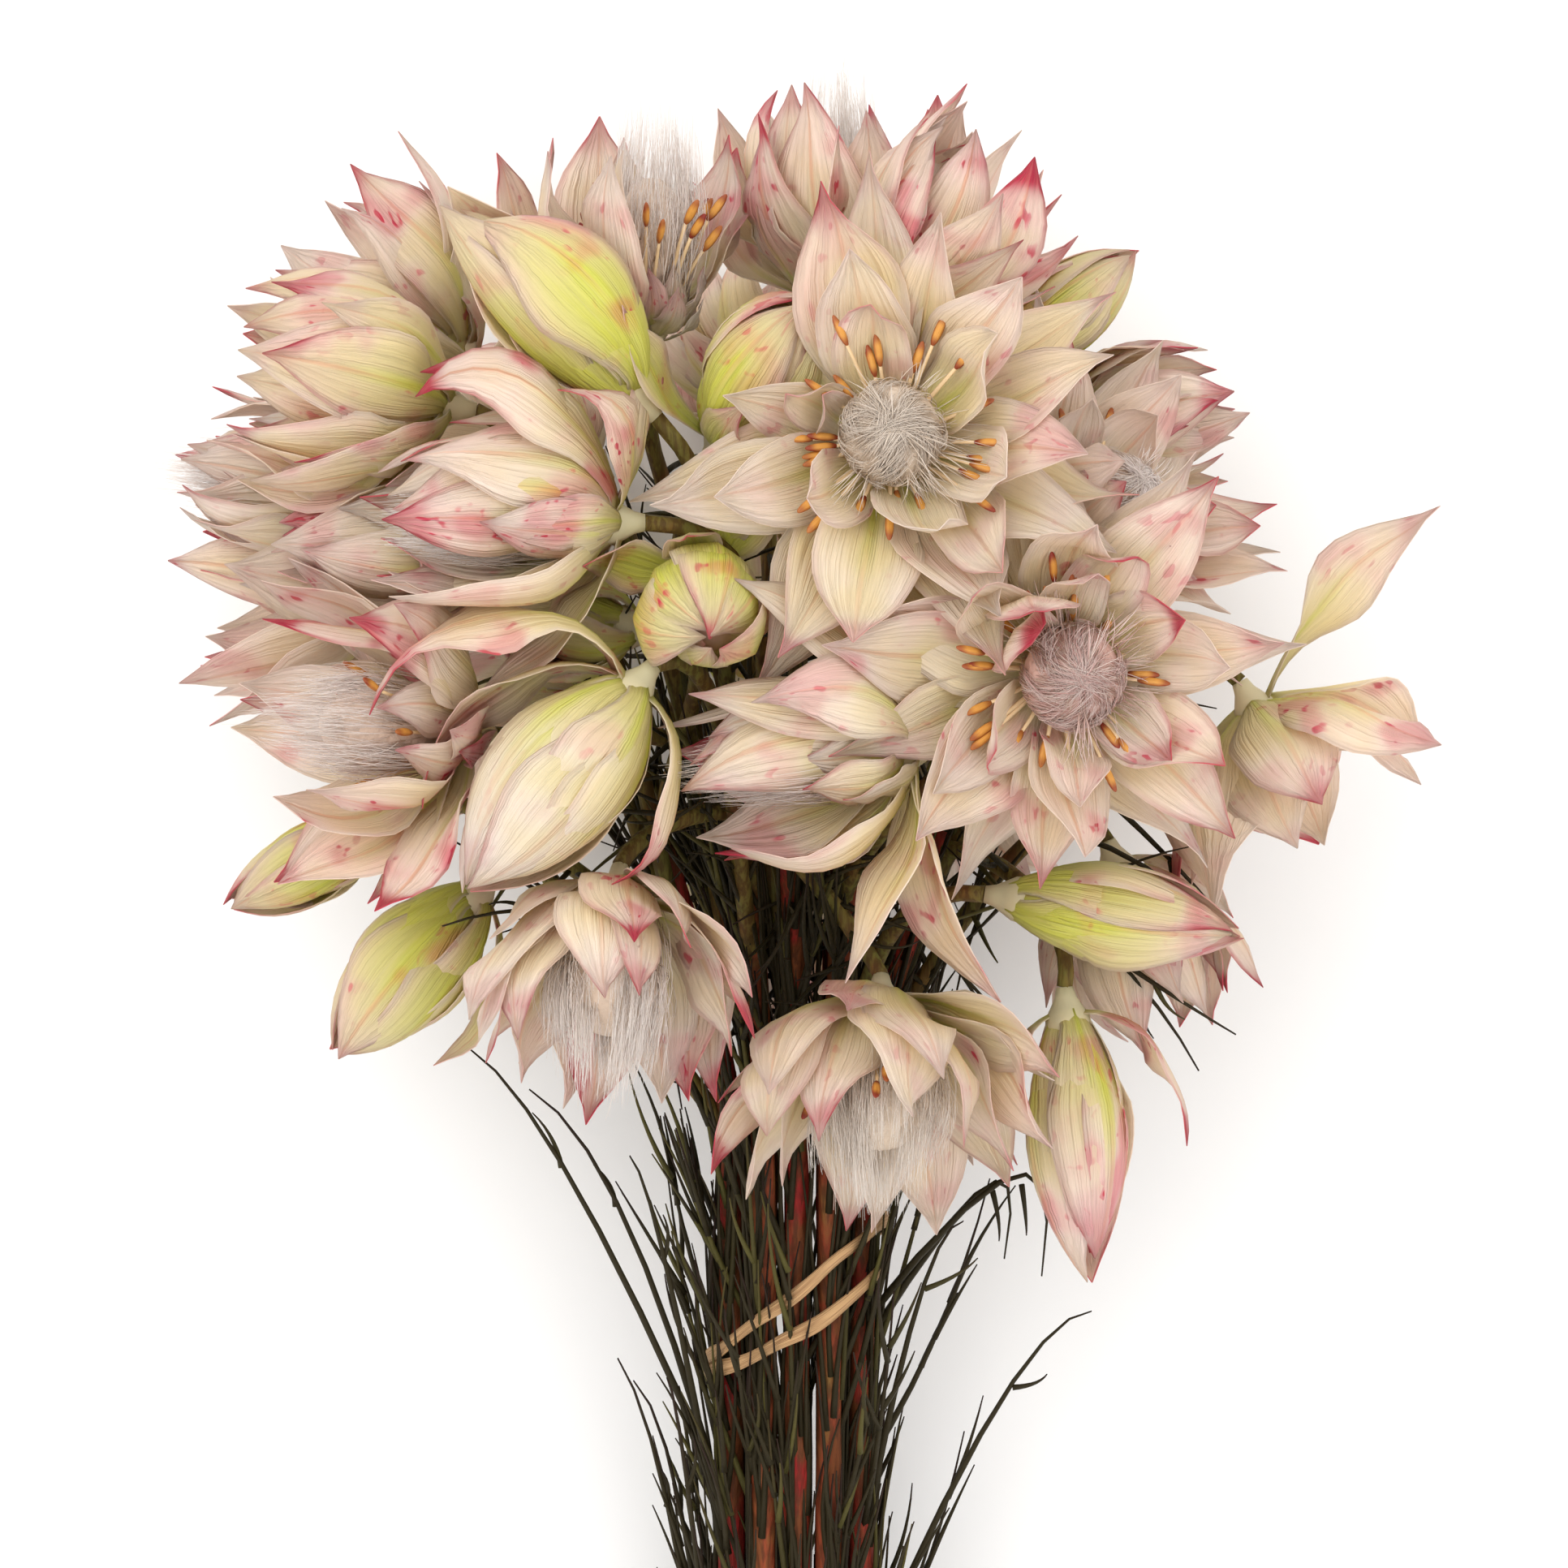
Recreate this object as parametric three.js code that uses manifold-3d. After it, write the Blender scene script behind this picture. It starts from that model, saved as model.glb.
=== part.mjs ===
// A tied bunch of blushing bride (Serruria florida), laid on its back.
//
// Frame: millimetres, +Z up from the surface that the bunch lies on, +Y along the stems towards the flower
// heads, and +X to the right. The places below are set out from a point under the bunch, and the whole
// bunch is moved at the end, which puts the origin on the flat spot that the lowest bud rests on.
//
// Pieces: one solid for the bracts of each flower head, one for the hairy tuft of florets of each open head,
// one for each leafy stem with its flower stalks, and the raffia tie. Pieces that touch are kept CLEARANCE
// apart. Stalks, bracts and needle leaves are set out by rule, and bend clear of what is already there.
import * as THREE from "three";
import { mergeVertices } from "three/addons/utils/BufferGeometryUtils.js";
import Module from "manifold-3d";

const wasm = await Module();
wasm.setup();
const { Manifold, Mesh: SolidMesh } = wasm;
const UP = new THREE.Vector3(0, 0, 1);
const { degToRad, lerp, smoothstep, clamp } = THREE.MathUtils;

// ---- Driving dimensions, in millimetres ----
const CLEARANCE = 0.3;
const SEAT = 0.34; // the gap between pieces that touch
const PRESSED = 1.2; // how far a piece may press into the surface, which flattens it
const TIDY = 0.12; // how far fusing may move a surface to drop needless facets
const REST_SPOT = { x: -0.47, y: 12.27 }; // where the lowest bud rests, before the bunch is moved

// A bract, as shares of its length unless said otherwise
const BRACT_HALF_WIDTH = 0.205;
const BRACT_THICKNESS = 0.9; // mm, at the midrib
const BRACT_ROOT_RADIUS = 2.2; // mm from the head's axis
const BRACT_STATIONS = [0.45, 0.8];
const WIDEST_AT = 0.45;
const ROOT_WIDTH = 0.3; // of the full width
const BRACT_ROLL = degToRad(16); // each bract laps over its neighbour
const CUP_LEAST = 0.3; // half the angle of a bract's curved section
const CUP_MOST = 1.2;

// How a bract leans from the head's axis, in degrees, at its root, middle and tip, for each opening
const LEAN = [
  { opening: 0.0, root: 34, middle: 1, tip: -28 },
  { opening: 0.25, root: 72, middle: 4, tip: -30 },
  { opening: 0.5, root: 76, middle: 22, tip: 8 },
  { opening: 0.75, root: 78, middle: 45, tip: 38 },
  { opening: 1.0, root: 82, middle: 72, tip: 78 },
  { opening: 1.35, root: 88, middle: 105, tip: 135 },
  { opening: 1.7, root: 92, middle: 135, tip: 190 },
];
const BUD_UNDER = 0.22; // heads with less opening than this are buds
const WIDE_OVER = 0.8; // heads with more opening than this are wide open

// Rings of bracts from outside in: how many, change of opening, length as a share of the head's,
// root height in mm, and turn of the ring as a share of the gap between its bracts
const OPEN_RINGS = [
  { count: 5, opens: 0.06, length: 0.96, rootHeight: 1.4, turn: 0 },
  { count: 4, opens: -0.16, length: 1.0, rootHeight: 3.4, turn: 0.4 },
];
const WIDE_RINGS = [
  { count: 6, opens: 0.08, length: 0.98, rootHeight: 1.2, turn: 0 },
  { count: 6, opens: -0.12, length: 0.92, rootHeight: 3.2, turn: 0.5 },
];
const HIDDEN_RINGS = [
  { count: 4, opens: 0.1, length: 0.97, rootHeight: 1.4, turn: 0 },
  { count: 3, opens: -0.14, length: 1.0, rootHeight: 3.4, turn: 0.4 },
];
const BUD_RINGS = [
  { count: 3, opens: 0, length: 1.0, rootHeight: 1.8, turn: 0 },
  { count: 2, opens: 0.16, length: 0.85, rootHeight: 0.8, turn: 0.25 },
];
const BENDS = [0, -0.1, 0.1, -0.2, 0.2, -0.32, 0.32, -0.45, -0.6]; // changes of opening, tried in this order

// The receptacle that carries the bracts, as [radius, height] in mm
const RECEPTACLE = [[0, -2.5], [1.8, -2.5], [4.2, 1.4], [0, 5.6]];
// A bud's closed inner bracts, as shares of its widest radius and of its length, after its root in mm
const BUD_BODY = [[0.9, 0.22], [1, 0.42], [0.6, 0.7], [0, 0.9]];
const BUD_ROOT = [[0, -2.5], [1.8, -2.5]];
const BUD_RADIUS = { shut: 0.08, opening: 0.55 }; // shares of its length, when shut and for each opening

// The tuft of florets: a round head of hairs on a narrow foot
const TUFT_FOOT = 6.1;
const TUFT_SIDES = 8;
const TUFT_SHAPE = [[0.6, 0], [1, 0.36], [0.84, 0.74]];
const ANTHER_LENGTH = 8;
const ANTHERS = 8;

// The bundle: where its axis runs, and the place of each stem in it
const BUNDLE = { x: 9, tieY: -96, tieZ: 31, endY: -212, endZ: 7.2 };
const STEM_GAP = 4.6;
const STEM_RADIUS = 2.05;
const STALK_RADIUS = 1.15;
const STEM_SIDES = 6;
const STEM_STEPS = 6;
const STEM_TURN = 0.2; // turns a stem's flats out of line with its neighbours'
const STALK_SIDES = 4;
const STALK_STEPS = 4;
const FORK_STEP = 0.07; // share of the stem from one of its forks to the next
const FORK_SHIFTS = [0, -0.03, 0.03, -0.06, 0.06];
const SWINGS = [
  [0, 0, 0], [0, 0, -3], [0, 0, 3], [3, 0, 0], [-3, 0, 0], [0, 0, -6], [0, 0, 6], [6, 0, 0], [-6, 0, 0],
  [0, -8, -5], [0, 8, -8], [8, 0, -8], [-8, 0, -8], [0, 0, -12], [12, 0, -6], [-12, 0, -6], [0, 0, 12],
  [12, 6, 0], [-12, 6, 0],
]; // sideways bows of a stalk, tried in this order

// Needle leaves: three-sided, this thick and this long
const NEEDLE_RADIUS = 0.62;
const NEEDLE_LENGTH = [22, 44];
const NEEDLES_PER_STEM = 10;
const NEEDLES_IN_MIDDLE = 4;
const NEEDLE_TRIES = [
  [0, 0], [25, 0], [-25, 0], [0, 12], [30, 12], [-30, 12], [0, 28], [50, 0], [-50, 0],
]; // turns and leans in degrees, tried in this order

// Needle leaves that stand out on their own: what they grow on and how far along it, bend and tip
const LONE_NEEDLES = [
  ["leafy_stem_far_right", 0.34, [38, -106, 34], [50, -97, 36]],
  ["leafy_stem_far_left", 0.47, [-22, -76, 45], [-36, -60, 48]],
  ["leafy_stem_far_left", 0.45, [-14, -82, 38], [-28, -66, 40]],
  ["leafy_stem_far_left", 0.4, [-9, -88, 42], [-14, -75, 44]],
  ["leafy_stem_far_left", 0.16, [-8, -125, 28], [-16, -104, 30]],
  ["leafy_stem_far_left", 0.14, [-6, -126, 22], [-14, -108, 20]],
  ["leafy_stem_far_left", 0.19, [-6, -120, 34], [-9, -106, 38]],
  ["leafy_stem_far_right", 0.44, [26, -92, 40], [32, -84, 44]],
  ["leafy_stem_far_right", 0.62, [42, -72, 42], [43, -92, 38]],
  ["leafy_stem_far_right", 0.6, [38, -74, 36], [38, -90, 32]],
  ["drooping_head_far_right", 0.5, [60, -33, 40], [70, -45, 36]],
  ["drooping_head_far_right", 0.3, [56, -33, 52], [66, -45, 53]],
  ["bud_hanging_right", 0.6, [56, -50, 55], [69, -58, 52]],
  ["bud_hanging_right", 0.4, [54, -48, 54], [64, -63, 51]],
  ["leafy_stem_top_right", 0.94, [12, -4, 62], [20, 3, 66]],
  ["leafy_stem_top_right", 0.92, [18, -6, 62], [23, -1, 68]],
  ["leafy_stem_far_left", 0.93, [-26, -40, 58], [-39, -43, 62]],
];

// The raffia tie: where its two turns pass the left and right sides of the bundle
const TIE = { halfWidth: 12.6, halfHeight: 8.9, strand: 2.6, thickness: 0.7, segments: 14 };
const TIE_TURNS = [
  { left: -104.5, right: -84.5 },
  { left: -105.5, right: -90 },
];

// Leafy stems: place in the bundle in stem gaps, and the point that the stem forks at
const STEMS = [
  { name: "leafy_stem_top_left", place: [-1, 1], fork: [2, -26, 54] },
  { name: "leafy_stem_top_middle", place: [0, 1], fork: [8, -30, 57] },
  { name: "leafy_stem_top_right", place: [1, 1], fork: [16.5, -25, 56] },
  { name: "leafy_stem_far_left", place: [-2, 0], fork: [-10, -30, 42] },
  { name: "leafy_stem_left", place: [-1, 0], fork: [-5, -18, 47] },
  { name: "leafy_stem_middle", place: [0, 0], fork: [8, -16, 46] },
  { name: "leafy_stem_right", place: [1, 0], fork: [20, -20, 47] },
  { name: "leafy_stem_far_right", place: [2, 0], fork: [29, -30, 43] },
  { name: "leafy_stem_bottom_left", place: [-1, -1], fork: [-3, -24, 33] },
  { name: "leafy_stem_bottom_middle", place: [0, -1], fork: [6, -26, 31] },
  { name: "leafy_stem_bottom_right", place: [1, -1], fork: [15, -24, 33] },
];

// Flower heads: name, stem, base point, facing, bract length, opening, and whether its florets show
const HEADS = [
  ["open_head_upper_front", 2, [21.5, 21, 76], [0, 0.12, 1], 30, 0.85, true],
  ["open_head_right_front", 6, [43, -8, 76], [0.18, -0.12, 0.97], 28, 0.85, true],
  ["hanging_head_left", 0, [-14.9, -37, 70], [-0.05, -0.85, 0.5], 30, 0.52, true],
  ["hanging_head_right", 1, [20.4, -52, 62], [0, -0.85, 0.5], 31, 0.58, true],
  ["open_head_left", 4, [-34.1, -17, 66], [-0.85, 0.05, 0.5], 31, 0.6, true],
  ["half_open_head_front", 2, [25.3, -19, 80], [-1, -0.12, 0.15], 30, 0.36, true],
  ["half_open_head_left", 0, [-13.8, 11, 78], [-1, 0, 0.05], 34, 0.32, true],
  ["bud_front", 0, [-11.6, -10, 82], [-0.63, -0.77, 0.08], 32, 0.19, false],
  ["bud_centre", 1, [-3.5, 3, 72], [0, -0.1, 1], 20, 0.21, false],
  ["bud_upper_left", 4, [-11.6, 27, 74], [-0.68, 0.7, 0.1], 31, 0.02, false],
  ["bud_upper", 1, [-1.7, 22, 64], [0.5, 0.68, 0.5], 27, 0.08, false],
  ["bud_left", 3, [-12.1, -3, 62], [-1, 0.12, 0.05], 23, 0.05, false],
  ["open_head_top_left", 5, [-11.6, 36, 58], [0.05, 0.95, 0.25], 30, 0.5, true],
  ["open_head_top", 5, [14.3, 42, 45], [0, 1, 0.05], 31, 0.5, true],
  ["open_head_top_right", 6, [19.3, 39, 66], [0.5, 0.85, 0.1], 29, 0.4, false],
  ["open_head_right_behind", 6, [44, 10, 58], [0.6, 0.35, 0.7], 28, 0.75, true],
  ["half_open_head_upper_left", 4, [-36.9, 27, 64], [-1, 0.15, 0.1], 31, 0.33, false],
  ["half_open_head_far_left", 3, [-33, 8, 58], [-1, 0, 0.15], 27, 0.4, false],
  ["open_head_upper_left", 8, [-35.2, 34, 44], [-0.85, 0.47, 0.1], 30, 0.42, false],
  ["half_open_head_left_edge", 3, [-48.4, 16, 48], [-1, 0.12, 0.05], 26, 0.35, true],
  ["half_open_head_lower_left", 8, [-46.2, 3, 40], [-1, 0.05, 0], 30, 0.45, false],
  ["bud_lower_left", 3, [-34.1, -38, 50], [-0.66, -0.75, 0], 29, 0.14, false],
  ["bud_far_lower_left", 3, [-47.3, -29, 44], [-0.88, -0.47, 0], 23, 0.05, false],
  ["bud_lower_right", 6, [36.9, -39, 64], [1, -0.15, 0.05], 31, 0.06, false],
  ["bud_hanging_right", 7, [45.7, -54, 56], [0.1, -1, 0.05], 34, 0.04, false],
  ["drooping_head_far_right", 7, [71, -12, 48], [0.45, -0.85, 0], 27, 0.6, false],
  ["half_open_head_lower_right", 7, [52.8, -34, 42], [0.35, -0.9, -0.1], 25, 0.4, false],
  ["bud_upper_right", 10, [36, 33, 48], [0.75, 0.62, 0.05], 24, 0.05, false],
  ["half_open_head_far_right", 10, [43, 24, 44], [1, 0.12, 0], 25, 0.25, false],
  ["back_head_upper_left", 8, [-22, 18, 24.2], [-0.6, 0.35, -0.7], 27, 0.3, false],
  ["back_head_upper", 9, [5, 27, 25], [0, 0.75, -0.65], 28, 0.35, false],
  ["back_head_upper_right", 10, [29, 12, 24.5], [0.7, 0.2, -0.68], 28, 0.3, false],
  ["back_head_lower_left", 8, [-19.8, -11, 23.1], [-0.65, -0.3, -0.7], 27, 0.3, false],
  ["back_head_lower_right", 10, [29, -17, 25], [0.6, -0.45, -0.66], 27, 0.3, false],
  ["back_head_lower", 9, [3, -34, 13], [-0.1, -0.97, -0.05], 25, 0.3, false],
  ["resting_bud", 9, [0, -10, 4.6], [0.1, 1, 0], 30, 0.06, false],
].map(([name, stem, base, facing, length, opening, showsFlorets], index) => ({
  name, stem, index, length, opening, showsFlorets,
  base: new THREE.Vector3(...base),
  axis: new THREE.Vector3(...facing).normalize(),
}));

// Bracts that stand away from their heads: head, which way, opening and length
const STRAYS = [
  ["bud_front", [-1, 0.5, 0.5], 0.95, 27],
  ["bud_front", [1, -0.6, 0.4], 0.85, 25],
  ["half_open_head_left", [0, 1, 0.5], 0.85, 31],
  ["half_open_head_left", [0.2, 1, 0.05], 1.3, 24],
  ["half_open_head_front", [0, -1, 0.35], 1.0, 32],
  ["half_open_head_front", [0.3, -1, 0], 1.35, 32],
  ["bud_hanging_right", [1, 0, 0.2], 0.7, 27],
  ["drooping_head_far_right", [0.9, 0.5, 0.1], 1.35, 33],
  ["bud_lower_left", [0.7, -0.7, 0], 0.5, 25],
].map(([name, towards, opening, length]) => ({
  name, opening, length,
  towards: new THREE.Vector3(...towards),
}));

// ---- Solids ----

function solidOf(geometry) {
  geometry.deleteAttribute("normal");
  geometry.deleteAttribute("uv");
  const merged = mergeVertices(geometry, 1e-4);
  return new Manifold(
    new SolidMesh({
      numProp: 3,
      vertProperties: merged.attributes.position.array,
      triVerts: new Uint32Array(merged.index.array),
    }),
  );
}

// A closed solid through rings of points that run anticlockwise about the way the rings follow each other.
// Each end is a point, or flat if there is none. Alike splits a blade's two faces in the same way.
function loft(rings, { root = null, tip = null, alike = false }) {
  const sides = rings[0].length;
  const points = rings.flat();
  const faces = [];
  for (let i = 0; i + 1 < rings.length; i++) {
    for (let k = 0; k < sides; k++) {
      const a = i * sides + k;
      const b = i * sides + ((k + 1) % sides);
      const [c, d] = [b + sides, a + sides];
      faces.push(...(alike && k % 2 ? [a, b, d, b, c, d] : [a, b, c, a, c, d]));
    }
  }
  const last = points.length - sides;
  for (let k = 1; k + 1 < sides; k++) {
    if (!root) faces.push(0, k + 1, k);
    if (!tip) faces.push(last, last + k, last + k + 1);
  }
  if (root) {
    for (let k = 0; k < sides; k++) faces.push((k + 1) % sides, k, points.length);
    points.push(root);
  }
  if (tip) {
    for (let k = 0; k < sides; k++) faces.push(last + k, last + ((k + 1) % sides), points.length);
    points.push(tip);
  }
  const geometry = new THREE.BufferGeometry().setFromPoints(points);
  geometry.setIndex(faces);
  return solidOf(geometry);
}

// Two directions square to an axis and to each other
function frameOf(axis) {
  const across = UP.clone().addScaledVector(axis, -axis.z);
  if (across.length() < 0.2) across.set(0, 1, 0).addScaledVector(axis, -axis.y);
  across.normalize();
  return [across, axis.clone().cross(across)];
}

// A round ring of points about an axis
function ring(centre, axis, radius, sides, turn = 0) {
  const [across, along] = frameOf(axis);
  return Array.from({ length: sides }, (_, k) => {
    const angle = turn + (2 * Math.PI * k) / sides;
    return centre
      .clone()
      .addScaledVector(across, radius * Math.cos(angle))
      .addScaledVector(along, radius * Math.sin(angle));
  });
}

// A solid of revolution along a head's axis, from [radius, height] pairs that start and end on the axis
function turned(head, profile, sides) {
  const lathe = new THREE.LatheGeometry(
    profile.map(([radius, height]) => new THREE.Vector2(radius, height)),
    sides,
  );
  lathe.applyQuaternion(new THREE.Quaternion().setFromUnitVectors(new THREE.Vector3(0, 1, 0), head.axis));
  lathe.translate(...head.base.toArray());
  return solidOf(lathe);
}

// The largest body of a fused solid, flattened where it meets the surface. Hollows that fusing has sealed
// are filled, and loose scraps are dropped.
function whole(solids) {
  const bodies = Manifold.union(solids).trimByPlane([0, 0, 1], 0).asOriginal().simplify(TIDY).decompose();
  return bodies.reduce((best, body) => (body.volume() > best.volume() ? body : best));
}

// A number from 0 to 1 that is always the same for the same three numbers
function vary(i, j, k) {
  const wave = Math.sin(i * 12.9898 + j * 78.233 + k * 37.719) * 43758.5453;
  return wave - Math.floor(wave);
}

// ---- Keeping pieces clear of each other ----

const placed = [];

function place(owner, solid) {
  placed.push({ owner, solid, box: solid.boundingBox() });
  return solid;
}

function boxesMeet(a, b) {
  return [0, 1, 2].every((i) => a.min[i] < b.max[i] + CLEARANCE && b.min[i] < a.max[i] + CLEARANCE);
}

function isClear(owner, solid) {
  const box = solid.boundingBox();
  if (box.min[2] < -PRESSED) return false;
  return placed.every(
    (other) =>
      other.owner === owner ||
      !boxesMeet(box, other.box) ||
      solid.minGap(other.solid, 2 * CLEARANCE) >= CLEARANCE,
  );
}

// ---- Flower heads ----

function leanAt(opening) {
  const held = clamp(opening, LEAN[0].opening, LEAN.at(-1).opening);
  const upper = Math.max(1, LEAN.findIndex((key) => key.opening >= held));
  const [low, high] = [LEAN[upper - 1], LEAN[upper]];
  const share = (held - low.opening) / (high.opening - low.opening);
  return ["root", "middle", "tip"].map((at) => degToRad(lerp(low[at], high[at], share)));
}

// The full width narrows to the root, and to a drawn-out point at the tip
function widthShare(s) {
  if (s < WIDEST_AT) return lerp(ROOT_WIDTH, 1, smoothstep(s, 0, WIDEST_AT));
  const past = (s - WIDEST_AT) / (1 - WIDEST_AT);
  return (1 - past ** 1.7) ** 1.3;
}

// The midrib of a bract at the given stations, with the bract's outward and sideways directions
function midrib(head, { azimuth, opening, length, rootHeight, sway }, stations) {
  const [across, along] = frameOf(head.axis);
  const outwards = across.multiplyScalar(Math.cos(azimuth)).addScaledVector(along, Math.sin(azimuth));
  const sideways = head.axis.clone().cross(outwards);
  const [root, middle, tip] = leanAt(opening);
  const lean = (s) => root * (1 - s) ** 2 + 2 * middle * s * (1 - s) + tip * s ** 2;
  const STEPS = 20;
  const step = length / STEPS;
  const ribs = [{ radius: BRACT_ROOT_RADIUS, height: rootHeight }];
  for (let i = 0; i < STEPS; i++) {
    const angle = lean((i + 0.5) / STEPS);
    const { radius, height } = ribs[i];
    ribs.push({ radius: radius + step * Math.sin(angle), height: height + step * Math.cos(angle) });
  }
  return stations.map((s) => {
    const { radius, height } = ribs[Math.round(s * STEPS)];
    const point = head.base
      .clone()
      .addScaledVector(head.axis, height)
      .addScaledVector(outwards, radius)
      .addScaledVector(sideways, sway * length * s * s);
    const normal = outwards.clone().multiplyScalar(Math.cos(lean(s)));
    normal.addScaledVector(head.axis, -Math.sin(lean(s)));
    return { s, point, normal, sideways, radius };
  });
}

// A bract: a thin pointed blade, cupped about its head's axis and rolled to lap over its neighbour
function bract(head, shape) {
  const stations = midrib(head, shape, [...BRACT_STATIONS, 1]);
  const rings = stations.slice(0, -1).map(({ s, point, normal, sideways, radius }) => {
    const halfWidth = BRACT_HALF_WIDTH * shape.length * widthShare(s);
    const cup = clamp(halfWidth / Math.max(radius, 1), CUP_LEAST, CUP_MOST);
    const reach = (halfWidth * Math.sin(cup)) / cup;
    const depth = (halfWidth * (1 - Math.cos(cup))) / cup;
    const half = (BRACT_THICKNESS / 2) * (1 - 0.3 * s);
    const roll = BRACT_ROLL * smoothstep(s, 0, 0.4);
    const edge = (side) =>
      point
        .clone()
        .addScaledVector(sideways, side * reach * Math.cos(roll))
        .addScaledVector(normal, side * reach * Math.sin(roll) - depth);
    return [
      point.clone().addScaledVector(normal, half),
      edge(1),
      point.clone().addScaledVector(normal, -half),
      edge(-1),
    ];
  });
  const root = head.base.clone().addScaledVector(head.axis, shape.rootHeight);
  return loft(rings, { root, tip: stations.at(-1).point, alike: true });
}

function headCore(head) {
  if (head.opening >= BUD_UNDER) return turned(head, RECEPTACLE, 6);
  const widest = head.length * (BUD_RADIUS.shut + BUD_RADIUS.opening * head.opening);
  const body = BUD_BODY.map(([radius, height]) => [radius * widest, height * head.length]);
  return turned(head, [...BUD_ROOT, ...body], 7);
}

// The hairy tuft of florets, its surface raised into tips, with anthers round it in a wide open head
function tuft(head) {
  const wide = head.opening > 0.7;
  const radius = wide ? 6.4 : 4.9;
  const height = wide ? 13 : 0.7 * head.length - TUFT_FOOT;
  const at = (share) => head.base.clone().addScaledVector(head.axis, TUFT_FOOT + share * height);
  const rings = TUFT_SHAPE.map(([reach, share], row) => {
    const smooth = ring(at(share), head.axis, radius * reach, TUFT_SIDES);
    return smooth.map((point, k) => (row && (k + row) % 2 ? point.lerp(at(share), 0.16) : point));
  });
  const solids = [loft(rings, { tip: at(1) })];
  for (let k = 0; wide && k < ANTHERS; k++) {
    const [across, along] = frameOf(head.axis);
    const angle = (2 * Math.PI * (k + 0.4 * vary(head.index, k, 5))) / ANTHERS;
    const out = across.multiplyScalar(Math.cos(angle)).addScaledVector(along, Math.sin(angle));
    const way = out.clone().addScaledVector(head.axis, 0.62).normalize();
    const foot = at(0.2).addScaledVector(out, 0.6 * radius);
    const middle = foot.clone().addScaledVector(way, ANTHER_LENGTH);
    const tip = middle.clone().addScaledVector(way, 2);
    solids.push(loft([ring(foot, way, 0.6, 3), ring(middle, way, 0.8, 3)], { tip }));
  }
  return whole(solids);
}

function ringsOf(head) {
  if (head.opening < BUD_UNDER) return BUD_RINGS;
  if (head.opening > WIDE_OVER) return WIDE_RINGS;
  return head.name.startsWith("back") ? HIDDEN_RINGS : OPEN_RINGS;
}

// A bract goes in at the first opening that is clear of everything else, if there is one
function placeBract(head, fused, shape) {
  for (const bend of BENDS) {
    const blade = bract(head, { ...shape, opening: shape.opening + bend });
    if (isClear(head.name, blade)) {
      fused.push(place(head.name, blade));
      return;
    }
  }
}

function headSolid(head) {
  const fused = [head.core];
  let number = 0;
  const [across, along] = frameOf(head.axis);
  for (const { towards, opening, length } of STRAYS.filter((stray) => stray.name === head.name)) {
    const azimuth = Math.atan2(towards.dot(along), towards.dot(across));
    placeBract(head, fused, { azimuth, opening, length, rootHeight: 0.8, sway: 0.05 });
  }
  for (const { count, opens, length, rootHeight, turn } of ringsOf(head)) {
    for (let k = 0; k < count; k++) {
      number += 1;
      const shape = {
        azimuth: head.index + (2 * Math.PI * (k + turn + 0.25 * (vary(head.index, number, 1) - 0.5))) / count,
        length: head.length * length * (0.94 + 0.1 * vary(head.index, number, 2)),
        rootHeight,
        sway: 0.12 * (vary(head.index, number, 3) - 0.5),
        opening: head.opening + opens + 0.1 * (vary(head.index, number, 4) - 0.5),
      };
      placeBract(head, fused, shape);
    }
  }
  return whole(fused);
}

// ---- Stems ----

// A tube of even sides along a curve, between two thicknesses
function tube(curve, radii, sides, steps, endAxis = curve.getTangentAt(1)) {
  const rings = [];
  for (let i = 0; i < steps; i++) {
    const s = i / steps;
    const radius = lerp(radii[0], radii[1], s);
    rings.push(ring(curve.getPointAt(s), curve.getTangentAt(s), radius, sides, STEM_TURN));
  }
  rings.push(ring(curve.getPointAt(1), endAxis, radii[1], sides, STEM_TURN));
  return loft(rings, {});
}

// A stem lies straight in the bundle, then leans out to the point where it forks into its flower stalks
function stemCurve({ place: [column, row], fork }) {
  const { x, tieY, tieZ, endY, endZ } = BUNDLE;
  const at = (y, spread) => {
    const z = lerp(tieZ, endZ, (y - tieY) / (endY - tieY));
    return new THREE.Vector3(x + column * STEM_GAP * spread, y, z + row * STEM_GAP);
  };
  const end = new THREE.Vector3(...fork);
  return new THREE.CatmullRomCurve3([
    at(endY + 9 * (vary(column, row, 6) - 0.5), 1.12),
    at(-165, 1),
    at(tieY, 1),
    at(-66, 1.06),
    end,
  ]);
}

// A flower stalk leaves the stem along its line and meets its head from behind
function stalkCurve(stem, head, { from, swing }) {
  const start = stem.curve.getPointAt(from);
  const end = head.base.clone().addScaledVector(head.axis, -2.5 - SEAT);
  const span = start.distanceTo(end);
  const leave = start
    .clone()
    .addScaledVector(stem.curve.getTangentAt(from), 0.22 * span)
    .lerp(end, 0.2)
    .add(swing);
  const meet = end.clone().addScaledVector(head.axis, -0.34 * span).add(swing);
  return new THREE.CubicBezierCurve3(start, leave, meet, end);
}

// A stalk takes the first fork and swing that keep it clear of everything else
function placeStalk(stem, head) {
  const fork = 0.985 - FORK_STEP * stem.forks;
  stem.forks += 1;
  for (const shift of FORK_SHIFTS) {
    for (const swing of SWINGS) {
      const way = { from: Math.min(0.985, fork + shift), swing: new THREE.Vector3(...swing) };
      const curve = stalkCurve(stem, head, way);
      const radii = [1.15 * STALK_RADIUS, STALK_RADIUS];
      const stalk = tube(curve, radii, STALK_SIDES, STALK_STEPS, head.axis);
      if (stalk.boundingBox().min[2] > CLEARANCE && isClear(stem.name, stalk)) {
        stem.curves[head.name] = curve;
        stem.solids.push(place(stem.name, stalk));
        return;
      }
    }
  }
  throw new Error(`${head.name} has no clear stalk`);
}

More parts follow.
